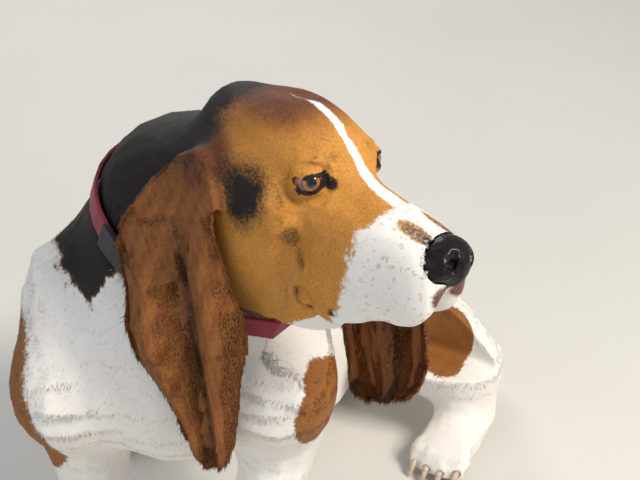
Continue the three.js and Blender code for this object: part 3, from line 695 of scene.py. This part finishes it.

# %% [markdown]
# ## Markings
# The pattern of tan, mahogany, black and white is worked out for any point of the skin. Its black
# also carries painted shade in the ears' folds, beside the mole and in the eyes' inner corners. It
# could be painted on a picture, but this script uses none. The skin stores it as attributes, and
# every tuft takes it from its own root, so the two always agree. A little noise breaks up the
# edges, as hairs of two colours mix there.

# %% Smooth noise
def wobble(points, scale, seed):
    """Smooth noise from a few waves, about -1 to 1."""
    draw = np.random.default_rng(seed)
    total = np.zeros(len(points))
    for i in range(7):
        wave = draw.normal(size=3) * scale * (1 + 0.5 * i) / 40
        total += np.sin(points @ wave + draw.uniform(0, 6.28)) / (1 + 0.35 * i)
    return total / 2.6


# %% The head's pattern
MARKS = ("white", "black", "mahogany", "ticks", "pink", "hue")


def head_markings(h, edge):
    """White, black, mahogany, ticked and pink on the head, from places in the head's frame."""
    folded = folded_over(h)
    x, ay, z = folded.T
    blaze_half = 1.5 + 0.045 * np.maximum(x + 60, 0)
    blaze = 1 - ramp(ay + 0.4 * edge, blaze_half - 3, blaze_half + 3.5)
    blaze *= ramp(x + edge, -70, -40) * ramp(z, -14, -4)
    border = np.interp(z, (-110, -97, -60, -36, -22, -12, -4), (33, 37, 42, 43, 47, 53, 61))
    side = ramp(x - border + 1.6 * edge, -10, 9)
    bridge = blob(folded, (84, 14, -15), (32, 12, 16))
    lip_front = ramp(blob(folded, (111, 12, -60), (18, 17, 18)), 0.05, 0.7)
    side *= (1 - 0.66 * ramp(bridge, 0.1, 0.5)) * (1 - 0.75 * lip_front)
    jaw = 1 - ramp(z + 114 - 0.6 * np.clip(x, -40, 20) + edge, -4, 4)
    white = np.maximum.reduce([blaze, side, jaw])

    temple = blob(folded, (-48, 56, -17), (38, 36, 52)) * (1 + 0.06 * edge)
    smudge = blob(folded, (-12, 42, -44), (18, 24, 24))
    smudge = smudge + blob(folded, (-4, 42, -64), (14, 22, 16))
    brow = blob(folded, (12, 24, 27), (15, 20, 15))
    from_mole = norms(folded - MOLE)
    # Painted shadow: a dark crescent below and behind the mole's bump, on the side away from the
    # light.
    mole_shadow = 0.75 * bell(from_mole - 9, 4.5)
    mole_shadow *= ramp(-0.8 * (x - MOLE[0]) - (z - MOLE[2]), -10, 6)
    from_lip = polyline_distance(folded, [(31, 39, -95), (40, 37, -99), (52, 34, -101)])[0]
    lip_corner = bell(from_lip, 5.5)
    nose_rim = blob(folded, (98, 12, -26), (20, 20, 20))
    a, b, c = in_eye(folded, 1)
    rim = (1 - ramp(beyond_almond(a, b) + 0.2 * edge, 2.2, 4.6)) * ramp(c, 0, 4)
    # Black skin in the deep inner corner of each eye, with painted shade for that hollow added to
    # it.
    slope = b - 4.0 + 0.35 * (a - 12)
    inner_corner_and_shade = bell(a - 15.5, 8.5) * bell(slope, 6.8) * ramp(c, -6, 0)
    nape = ramp(-x + 0.35 * z + 2 * edge, 88, 128) * ramp(z, -60, -20)
    ear_root = ramp(blob(folded, (-98, 60, 4), (56, 46, 66)), 0, 0.7)
    black = 1.15 * temple + 0.6 * ramp(smudge, 0.1, 0.9) + rim
    black += 1.2 * ramp(inner_corner_and_shade, 0.12, 0.9) + 0.8 * ramp(brow, 0, 0.9)
    black += 1.1 * mole_shadow + lip_corner + 0.7 * ramp(nose_rim, 0.2, 0.8)
    black += 0.85 * nape + 0.6 * ramp(bridge, 0.2, 0.8) + 0.45 * ear_root + lip_front

    crown = ramp(z + 0.3 * edge, 20, 48) * ramp(-x + 0.6 * edge, -16, 40)
    black += 0.5 * crown
    back = 0.5 * ramp(0.6 * z - x, 10, 100)
    mahogany = 0.08 + 0.92 * np.maximum.reduce([crown, back, ear_root, 0.7 * bridge])
    ticks = 0.5 * ramp(x, 44, 66)
    pink = 0.34 * lip_front + 0.35 * ramp(blob(folded, (70, 20, -92), (40, 26, 7)), 0.2, 0.8)
    return white, black, mahogany, ticks, pink


# %% The body's pattern
# Each tan patch: its middle and its half sizes in the body's frame, in mm
PATCHES = [
    ((-134, 42, 210), (64, 104, 112)),
    ((138, 0, 230), (50, 66, 58)),
    ((70, 300, 230), (120, 120, 95)),
    ((-60, 300, 190), (70, 90, 90)),
    ((265, 255, 125), (42, 60, 50)),
    ((-100, 300, 110), (50, 90, 70)),
    ((150, 470, 60), (70, 60, 60)),
]


def body_markings(b, edge):
    """The same five on the neck, body and legs, from places in the body's frame."""
    from_collar = b - (18, 70, 382)
    below = -(from_collar @ np.array([0.3, -0.28, 0.9]))
    frontward = from_collar @ np.array([0.69, -0.62, -0.37])
    throat = 2 + 1.1 * np.maximum(-below, 0)
    black = 1 - ramp(below + 0.25 * frontward + 1.5 * edge, 48, 62)
    black *= 1 - ramp(frontward + 2 * edge - throat, -2, 12)
    shares = [blob(b, middle, halves) for middle, halves in PATCHES]
    tan = np.clip(sum(ramp(share + 0.014 * edge, 0.08, 0.26) for share in shares), 0, 1)
    white = 1 - np.clip(tan + black, 0, 1)
    black = black + 0.9 * ramp(shares[2] + shares[3] + 0.02 * edge, 0.5, 0.85)
    pink = 0.55 * blob(b, (150, 120, 120), (110, 110, 90))
    return white, black, 0.75 + 0 * white, 0.14 + 0 * white, pink


# %% The two together, and the ears
def markings(points):
    """White, black, mahogany, ticks and pink at each point, from 0 to 1."""
    h, b = in_head(points), in_body(points)
    edge = 3.0 * wobble(b, 6, 1) + 1.5 * wobble(b, 18, 2)
    x, z = h[:, 0], h[:, 2]
    on_head = ramp(x + 0.25 * z, -118, -104) * ramp(z, -148, -138)
    pairs = zip(head_markings(h, edge), body_markings(b, edge))
    mixed = [np.clip(on_head * head + (1 - on_head) * body, 0, 1) for head, body in pairs]
    return np.stack(mixed, axis=1)


def with_ears(marks, ears, valley_shade, points):
    """The ears are mahogany with long streaks and blacker at their tops, with painted shade in
    their folds' valleys.
    """
    streaks = wobble(in_body(points) * (1, 1, 0.2), 34, 31)
    top = ramp(in_head(points)[:, 2], -50, 14)
    marks = marks.copy()
    marks[:, 0] *= 1 - ears
    # Painted shade: the black share rises in the folds' valleys, on top of the darker tops and
    # streaks.
    dark = np.clip(0.16 + 0.2 * streaks + 0.5 * np.maximum(valley_shade, top), 0, 1)
    marks[:, 1] = marks[:, 1] * (1 - ears) + ears * dark
    marks[:, 2] = np.maximum(marks[:, 2], ears * np.clip(0.86 - 0.2 * streaks, 0, 1))
    marks[:, 3:5] *= 1 - ears[:, None]
    return marks


# %% Store the pattern in the skin
def store(target, **fields):
    """Each field becomes an attribute of the points, which a material can read by name."""
    for name, values in fields.items():
        attribute = target.data.attributes.new(name, "FLOAT", "POINT")
        attribute.data.foreach_set("value", np.asarray(values, np.float32))


skin_marks = with_ears(markings(skin_points), skin_ears, ear_valley_shade, skin_points)
store(skin, hue=np.full(len(skin_points), 0.5), **dict(zip(MARKS, skin_marks.T)))
print("marked the skin")

# %% [markdown]
# ## Short coat
# A basset's short hair is seen as colour, fine streaks and a slight roughness. Hair strands could
# carry it, but they don't leave this program as a mesh. So one recipe of nodes serves the skin and
# the tufts: it mixes the colours by the stored pattern, frays their borders, darkens single strands
# and adds a bump as fine as a hair.

# %% Material of the coat
TAN = (0.56, 0.215, 0.030), (0.78, 0.38, 0.075)
BROWN = (0.115, 0.030, 0.008), (0.30, 0.092, 0.024)
CREAM = (0.83, 0.79, 0.73), (0.92, 0.90, 0.87)
DARK_ROOT, BLACK, GREY_ROOT = (0.060, 0.018, 0.005), (0.010, 0.007, 0.006), (0.42, 0.36, 0.30)
TICK, BARE_PINK = (0.50, 0.30, 0.17), (0.40, 0.17, 0.15)


def coat_material(name, hair_bump, roughness):
    """Short hair: its colour from the markings, with fine streaks and a hair-fine bump."""
    material, tree, shader = principled(name, Roughness=roughness, Specular_IOR_Level=0.28)
    place = object_place(tree)
    fields = {f: node(tree, "ShaderNodeAttribute", attribute_name=f).outputs["Fac"] for f in MARKS}

    def noise(scale, detail=3.0):
        return noise_of(tree, scale, place, detail, 0.6)

    def maths(operation, a, b, clamp=False):
        made = node(tree, "ShaderNodeMath", operation=operation, use_clamp=clamp)
        put(tree, a, made.inputs[0])
        put(tree, b, made.inputs[1])
        return made.outputs["Value"]

    def mixed(factor, a, b):
        made = node(tree, "ShaderNodeMix", data_type="RGBA")
        for i, value in ((0, factor), (6, a), (7, b)):
            put(tree, value, made.inputs[i])
        return made.outputs[2]

    def nudged(value, scale, amount, clamp=False):
        grain = maths("MULTIPLY", maths("SUBTRACT", noise(scale, 2), 0.5), amount)
        return maths("ADD", value, grain, clamp)

    def sharpened(value, grain, low, high):
        step = dict(Value=nudged(value, 420, grain), From_Min=low, From_Max=high)
        made = node(tree, "ShaderNodeMapRange", interpolation_type="SMOOTHSTEP", **step)
        return made.outputs["Result"]

    strand = nudged(fields["hue"], 520, 1.3, clamp=True)
    rich = mixed(fields["mahogany"], mixed(noise(45), *TAN), mixed(noise(70), *BROWN))
    shaded = mixed(0.68, rich, DARK_ROOT)
    rich = mixed(maths("MULTIPLY", strand, strand), rich, shaded)
    # The black field also holds painted shade: in the ears' fold valleys, beside the mole and in
    # the eyes' inner corners.
    dark = mixed(sharpened(fields["black"], 0.7, 0.20, 0.95), rich, BLACK)
    cream = mixed(maths("MULTIPLY", strand, 0.16), mixed(noise(30), *CREAM), GREY_ROOT)
    ticked = maths("MULTIPLY", sharpened(noise(230, 1), 0.15, 0.60, 0.68), fields["ticks"])
    spotted = mixed(ticked, cream, TICK)
    colour = mixed(sharpened(fields["white"], 0.9, 0.26, 0.74), dark, spotted)
    put(tree, mixed(fields["pink"], colour, BARE_PINK), shader.inputs["Base Color"])
    height = maths("ADD", noise(900, 2), noise(2400, 1))
    add_bump(tree, shader, height, hair_bump, 0.0006)
    return material


# %% Dress the skin
skin_material = coat_material("short_coat_skin", 0.55, 0.62)
skin.data.materials.clear()
skin.data.materials.append(skin_material)
print("coat material on the skin")

# %% [markdown]
# ## Eyes
# A basset's eye is small and set deep, brown, with a dark pupil and a red haw in the slack lower
# lid. A clear cornea over an iris would be more exact, but at this size one ball with a raised
# cornea under a clear coat looks the same. Its colours are rings about the way it looks.

# %% Eyeballs
gaze_in_head = np.array([0.76, 0.63, 0.17])
CORNEA_REACH, CORNEA_RISE, BALL_SHARE = 0.72, 0.055, 0.985


def eye_ball(side, s):
    """One eyeball with a raised cornea, looking forward and outward."""
    low, high = corners("eye_" + side)
    middle = (low + high) / 2
    gaze = head_turn @ (gaze_in_head * (1, s, 1) / np.linalg.norm(gaze_in_head))
    radius = EYE_RADIUS * MM * BALL_SHARE
    bpy.ops.mesh.primitive_uv_sphere_add(segments=64, ring_count=40, radius=radius)
    ball = bpy.context.view_layer.objects.active
    ball.name = "eyeball_" + side
    points = points_of(ball)
    unit = points / norms(points)[:, None]
    off = np.arccos(np.clip(unit[:, 2], -1, 1))
    swell = 1 + CORNEA_RISE * np.clip(1 - (off / CORNEA_REACH) ** 2, 0, 1)
    turn = np.array(Vector((0, 0, 1)).rotation_difference(Vector(gaze)).to_matrix())
    put_points(ball, (points * swell[:, None]) @ turn.T + middle)
    ball.data.shade_smooth()
    store(ball, off=off)
    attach(ball, "root")
    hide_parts("eye_" + side)
    return ball


# %% Material of the eye
# Pupil, iris from dark to amber to dark, the iris's rim, and the reddish white: the angle from the
# gaze in radians, and the colour
EYE_RINGS = [
    (0.0, (0.003, 0.002, 0.002)),
    (0.28, (0.004, 0.003, 0.002)),
    (0.33, (0.16, 0.055, 0.010)),
    (0.48, (0.36, 0.13, 0.018)),
    (0.62, (0.17, 0.055, 0.010)),
    (0.69, (0.012, 0.006, 0.004)),
    (0.76, (0.30, 0.15, 0.13)),
    (0.90, (0.34, 0.12, 0.10)),
]


def eye_material():
    """Wet rings of colour, with their borders frayed by fine fibres."""
    material, tree, shader = principled(
        "eye", Roughness=0.035, Coat_Weight=1.0, Coat_Roughness=0.01
    )
    off = node(tree, "ShaderNodeAttribute", attribute_name="off").outputs["Fac"]
    fibres = noise_of(tree, 900.0, object_place(tree))
    nudge = node(tree, "ShaderNodeMath", operation="MULTIPLY_ADD")
    for value, socket in zip((fibres, 0.05, off), nudge.inputs):
        put(tree, value, socket)
    rings = node(tree, "ShaderNodeValToRGB", Fac=nudge.outputs[0])
    while len(rings.color_ramp.elements) < len(EYE_RINGS):
        rings.color_ramp.elements.new(0.5)
    for element, (position, colour) in zip(rings.color_ramp.elements, EYE_RINGS):
        element.position = position
        element.color = (*colour, 1)
    put(tree, rings.outputs["Color"], shader.inputs["Base Color"])
    return material


deselect()
eye_look = eye_material()
for side, s in SIDES.items():
    eye_ball(side, s).data.materials.append(eye_look)
print("eyes made")

# %% [markdown]
# ## Nose and claws
# The nose leather is black and wet, with a pebbled surface. It could be built from a sphere, but
# the frame's own nose, remeshed fine and relaxed, keeps its nostrils where they are. Their slits
# and the groove between them are then pressed in. The claws are the frame's, smoothed.

# %% A smooth copy of parts of the frame
def smooth_copy(names, title, voxel, passes, material):
    """These parts as one piece of their own, with rounded edges."""
    made = copied(names, 0.0001)
    made.name = title
    remeshed(made, voxel)
    points = points_of(made)
    points = relaxed(made, points, passes, np.full(len(points), 0.9))
    put_points(made, points)
    made.data.shade_smooth()
    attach(made, "root")
    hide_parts(*names)
    made.data.materials.clear()
    made.data.materials.append(material)
    return made


# %% Materials of the nose and the claws
def add_cells(tree, shader, scale, strength, distance):
    """Small raised cells, which stand for pebbled leather or a weave."""
    cells = node(tree, "ShaderNodeTexVoronoi", Scale=scale, Vector=object_place(tree))
    add_bump(tree, shader, cells.outputs["Distance"], strength, distance)


wet = dict(Roughness=0.5, Specular_IOR_Level=0.12, Coat_Weight=0.22, Coat_Roughness=0.10)
nose_tints = (0.003, 0.0025, 0.003), (0.012, 0.009, 0.009)
nose_look, tree, shader = mottled("nose_leather", 160.0, *nose_tints, **wet)
add_cells(tree, shader, 720.0, 0.6, 0.0005)
horn = dict(Roughness=0.38, Coat_Weight=0.2)
claw_look = mottled("claw", 260.0, (0.34, 0.24, 0.17), (0.68, 0.58, 0.47), 3.0, **horn)[0]
print("materials:", nose_look.name, claw_look.name)

# %% The nose
# Around the nose's middle, in mm: each nostril is a comma, a round opening in front and a slit
# that curls back along the wing, and a groove runs down between the two
NOSTRIL = [(13, 11, 4), (8, 18, 1), (-2, 21.5, -4), (-9, 22, -6)]
GROOVE = [(19, 0, 2), (17, 0, -8), (12, 0, -20)]
nose = smooth_copy(["nose"], "nose_leather", 0.0008, 14, nose_look)
nose_points, nose_normals = points_of(nose), normals_of(nose)
nose_middle = in_head(sum(corners("nose")) / 2)
from_middle = in_head(nose_points) - nose_middle
carve = np.zeros(len(nose_points))
for s in SIDES.values():
    distance, place = polyline_distance(from_middle, np.array(NOSTRIL) * (1, s, 1))
    carve -= 3.0 * (1 - 0.6 * place) * bell(distance, 2.6)
distance, place = polyline_distance(from_middle, GROOVE)
carve -= 1.4 * bell(distance, 1.5)
nose_points = nose_points + nose_normals * (carve * MM)[:, None]
put_points(nose, relaxed(nose, nose_points, 16, np.full(len(nose_points), 0.9)))
print("nose:", len(nose_points), "points")

# %% The claws
claw_names = [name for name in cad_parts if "claw" in name]
smooth_copy(claw_names, "claws", 0.0008, 6, claw_look)
print("claws:", len(claw_names))

# %% [markdown]
# ## Collar
# The collar is a flat woven band, with a black strap keeper over it. A band could be bent along a
# curve, but both have to keep the place that the frame gives them. So they are its own solids with
# rounded edges, and the weave is a bump.

# %% Material of the webbing
def webbing_material(name, dark, light, scale):
    """Woven cloth: a soft change of colour, a little sheen and small cells."""
    cloth = dict(Roughness=0.8, Sheen_Weight=0.2)
    material, tree, shader = mottled(name, 70.0, dark, light, 4.0, **cloth)
    add_cells(tree, shader, scale, 0.8, 0.0006)
    return material


# %% The collar and its keeper
crimson = webbing_material("crimson_webbing", (0.17, 0.005, 0.018), (0.34, 0.012, 0.040), 640)
smooth_copy(["collar_band"], "collar", 0.0011, 3, crimson)
black = webbing_material("black_strap", (0.006, 0.006, 0.007), (0.02, 0.02, 0.022), 700)
smooth_copy(["collar_keeper"], "collar_strap_keeper", 0.0009, 3, black)
print("collar made")

# %% [markdown]
# ## Coat
# A basset's hair is short and lies flat: two to six millimetres on the face, up to ten on the body.
# A hair system would grow it, but only solid meshes leave this program. So each tuft is a thin
# closed spike of four faces that leans along the lie of the coat, back from the nose and down the
# neck, the ears and the legs. It carries the colour of its root, and its own small patch of the
# OFBake map there.

# %% A map of the skin
TUFTS = 290000
PIECE_TUFTS = 48500
draw = np.random.default_rng(7)

in_edit_mode(skin)
bpy.ops.uv.smart_project(angle_limit=math.radians(66), island_margin=0.002)
bpy.ops.object.mode_set(mode="OBJECT")
mesh = skin.data
mesh.uv_layers[0].name = "OFBake"
mesh.calc_loop_triangles()
count = len(mesh.loop_triangles)
corner_points = read(mesh.loop_triangles, "vertices", 3, np.int32)
corner_loops = read(mesh.loop_triangles, "loops", 3, np.int32)
uvs = read(mesh.uv_layers["OFBake"].data, "uv", 2)
print("triangles of skin:", count)


# %% How close the tufts stand
def near_face(points):
    """1 over the head, which is seen from nearest, 0 on the body."""
    return ramp(blob(points, (0, 0, -30), (190, 130, 150)), 0.0, 0.3)


NOSE_HALVES = (24, 21, 20)
skin_normals = normals_of(skin)
head_place = in_head(skin_points)
closeness = 1 + 1.6 * near_face(head_place) + 1.2 * skin_ears
lid_bare = 1 - ramp(lid_edge, 1.5, 3.5)
lid_bare = np.maximum(lid_bare, 1 - ramp(nearest_of(head_place, BOTH_EYES), 14.6, 16.2))
from_nose = norms((head_place - nose_middle) / NOSE_HALVES)
nose_bare = 1 - ramp(from_nose, 1.0, 1.12)
under = ramp(-skin_normals[:, 2], 0.9, 0.98) * (1 - ramp(in_body(skin_points)[:, 2], 4, 12))
closeness *= (1 - lid_bare) * (1 - nose_bare) * (1 - under)

# %% Roots
triangle = skin_points[corner_points]
sides = triangle[:, 1:] - triangle[:, :1]
area = 0.5 * norms(np.cross(sides[:, 0], sides[:, 1]))
weight = area * closeness[corner_points].mean(axis=1)
chance = np.cumsum(weight) / weight.sum()
chosen = np.searchsorted(chance, (np.arange(TUFTS) + draw.uniform(0, 1, TUFTS)) / TUFTS)
chosen = np.minimum(chosen, count - 1)
share = draw.dirichlet((1, 1, 1), TUFTS)


def spread(values):
    """Values at the skin's points, mixed to the tufts' roots."""
    picked = values[corner_points[chosen]]
    return (picked * (share[:, :, None] if picked.ndim == 3 else share)).sum(axis=1)


roots = spread(skin_points)
outward = spread(skin_normals)
outward /= norms(outward)[:, None]
root_marks = spread(skin_marks)
root_ears = spread(skin_ears)
root_uv = (uvs[corner_loops[chosen]] * share[:, :, None]).sum(axis=1)
print("roots drawn:", len(roots))

# %% The lie of the coat
def lie_of_coat(points, ears):
    """The way the hair points: away from the nose, down the neck, the ears and the legs."""
    h, b = in_head(points), in_body(points)
    back = head_turn @ np.array([-1.0, 0.0, 0.0])
    side_out = np.sign(h[:, 1])[:, None] * (head_turn @ np.array([0.0, 1.0, 0.0]))
    down = np.array([0.0, 0.0, -1.0])
    head_lie = back + 0.25 * side_out + 0.35 * down
    neck_lie = np.array([-0.25, 0.35, -1.0])
    body_lie = np.array([0.25, 0.8, -0.75])
    on_head = (ramp(h[:, 0] + 0.25 * h[:, 2], -124, -96) * ramp(h[:, 2], -124, -100))[:, None]
    chest = ramp(-b[:, 1] + 30, -40, 40)[:, None]
    leg = (1 - ramp(b[:, 2], 120, 190))[:, None]
    lie = on_head * head_lie + (1 - on_head) * (chest * neck_lie + (1 - chest) * body_lie)
    lie = lie * (1 - 0.8 * leg) + 0.8 * leg * down
    tail_way = ramp(b[:, 1], 430, 470)[:, None]
    lie = lie * (1 - tail_way) + tail_way * np.array([0.75, 0.6, -0.25])
    lie = lie * (1 - ears[:, None]) + ears[:, None] * (down + 0.12 * back)
    return lie


lie = lie_of_coat(roots, root_ears)
swirl = np.stack([wobble(in_body(roots), 7, 11 + i) for i in range(3)], axis=1)
lie = lie + 0.28 * swirl + 0.13 * draw.normal(size=lie.shape)
lie -= (lie * outward).sum(axis=1)[:, None] * outward
lie /= norms(lie)[:, None] + 1e-9
print("the coat lies down and back")

# %% Spikes
# A spike's length, half width and burial of its base are in mm, and its lift in degrees
ROOT_DEEP, ROOT_BACK, TIP_DOWN = 0.9, 0.4, 0.05
FLOOR_GAP = 0.0003
root_head, root_body = in_head(roots), in_body(roots)
near_nose = 1 - ramp(norms(root_head - nose_middle), 26, 110)
paw = 1 - ramp(root_body[:, 2], 40, 95)
head_part = near_face(root_head)
length = 8.6 - 3.0 * head_part - 2.4 * near_nose - 3.4 * paw - 1.6 * root_ears
length *= draw.uniform(0.75, 1.2, TUFTS)
width = (0.50 - 0.17 * head_part) * draw.uniform(0.8, 1.25, TUFTS)
lift = np.radians(6 + 4 * draw.random(TUFTS))
spine = lie * np.cos(lift)[:, None] + outward * np.sin(lift)[:, None]
across = np.cross(outward, lie)
base = roots - outward * ROOT_DEEP * MM - lie * ROOT_BACK * MM
half, reach = (width * MM)[:, None], (length * MM)[:, None]
spike = [
    base + across * half,
    base - across * half,
    base + outward * half * 0.7 + lie * half * 0.5,
    base + spine * reach - outward * reach * TIP_DOWN,
]
tuft_points = np.stack(spike, axis=1)
tuft_points[:, :, 2] = np.maximum(tuft_points[:, :, 2], FLOOR_GAP + 0.0002 * np.arange(4))
tetra = np.array([[0, 1, 2], [0, 3, 1], [1, 3, 2], [2, 3, 0]])
clumps = 0.20 * wobble(root_body, 45, 21) + 0.22 * wobble(root_body, 110, 22)
hue = np.clip(0.45 + clumps + 0.28 * draw.normal(size=TUFTS), 0, 1)
print("tufts from", round(length.min(), 1), "to", round(length.max(), 1), "mm")

# %% Pieces of coat
PATCH_HALF = 0.0015
coat_look = coat_material("short_coat_tufts", 0.25, 0.55)
patch = PATCH_HALF * np.array([[-1, -1], [1, -1], [1, 1], [-1, 1]])
order = np.argsort(root_body[:, 2] + 1000 * (head_part > 0.5), kind="stable")
pieces = []
for start in range(0, TUFTS, PIECE_TUFTS):
    own = order[start : start + PIECE_TUFTS]
    faces = (tetra[None] + 4 * np.arange(len(own))[:, None, None]).reshape(-1, 3)
    name = f"coat_{len(pieces) + 1}"
    piece = make_mesh(name, tuft_points[own].reshape(-1, 3), faces)
    layer = piece.data.uv_layers.new(name="OFBake")
    places = np.clip(root_uv[own][:, None, :] + patch[None], 0, 1).reshape(-1, 2)
    layer.data.foreach_set("uv", places[faces.ravel()].astype(np.float32).ravel())
    fields = dict(zip(MARKS, root_marks[own].T), hue=hue[own])
    store(piece, **{field: np.repeat(values, 4) for field, values in fields.items()})
    piece.data.materials.append(coat_look)
    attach(piece, "root")
    pieces.append(piece)
print("coat pieces:", len(pieces))

# %% [markdown]
# ## Whiskers
# Long stiff hairs stand from rows on the muzzle and hang from the cheek's mole. Curves with a round
# bevel would do, but they spend many faces. Each is a thin tapered rod of three sides that bends
# back and droops.

# %% One whisker
RINGS, ROD_SIDES, THICK = 6, 3, 0.17
DROOP = np.array([-0.22, 0, -0.30])


def whisker(root, way, size):
    """Rings of a bent tapered rod, in the head's frame, in mm, and its faces."""
    root, way = np.array(root, float), np.array(way, float)
    way /= np.linalg.norm(way)
    aside = np.cross(way, (0, 0, 1))
    aside /= np.linalg.norm(aside)
    above = np.cross(aside, way)
    points = []
    for i in range(RINGS):
        t = i / (RINGS - 1)
        middle = root + way * size * t + DROOP * size * t * t
        for k in range(ROD_SIDES):
            angle = k * math.tau / ROD_SIDES
            spoke = aside * math.cos(angle) + above * math.sin(angle)
            points.append(middle + spoke * THICK * (1 - 0.93 * t))
    faces = []
    for i in range(0, (RINGS - 1) * ROD_SIDES, ROD_SIDES):
        for k in range(ROD_SIDES):
            near, beside = i + k, i + (k + 1) % ROD_SIDES
            across = beside + ROD_SIDES
            faces += [(near, beside, across), (near, across, near + ROD_SIDES)]
    return points, faces + [(0, 2, 1), (15, 16, 17)]


# %% All the whiskers
whisker_points, whisker_faces = [], []
for s in SIDES.values():
    starts = [(58 + 9 * c, s * (33 - 2.4 * c), -44 - 8 * r) for r in range(3) for c in range(4)]
    starts += [(-20 + 3 * c, s * 44, -84 + 3 * c) for c in range(3)]
    for start in starts:
        nearest = head_place[np.argmin(norms(head_place - start))]
        way = np.array((draw.uniform(-0.5, 0.4), s * 1.0, draw.uniform(-0.7, 0.1)))
        if start[0] < 0:
            way += (0.2, -0.6 * s, -1.0)
        points, faces = whisker(nearest - 0.8 * way, way, draw.uniform(16, 34))
        whisker_faces += [tuple(i + len(whisker_points) for i in face) for face in faces]
        whisker_points += points
whiskers = make_mesh("whiskers", from_head(whisker_points), whisker_faces)
whiskers.data.shade_smooth()
hair = mottled("whisker", 90.0, (0.25, 0.2, 0.16), (0.85, 0.82, 0.78), Roughness=0.35)
whiskers.data.materials.append(hair[0])
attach(whiskers, "root")
print("whiskers:", len(whisker_points) // (RINGS * ROD_SIDES))
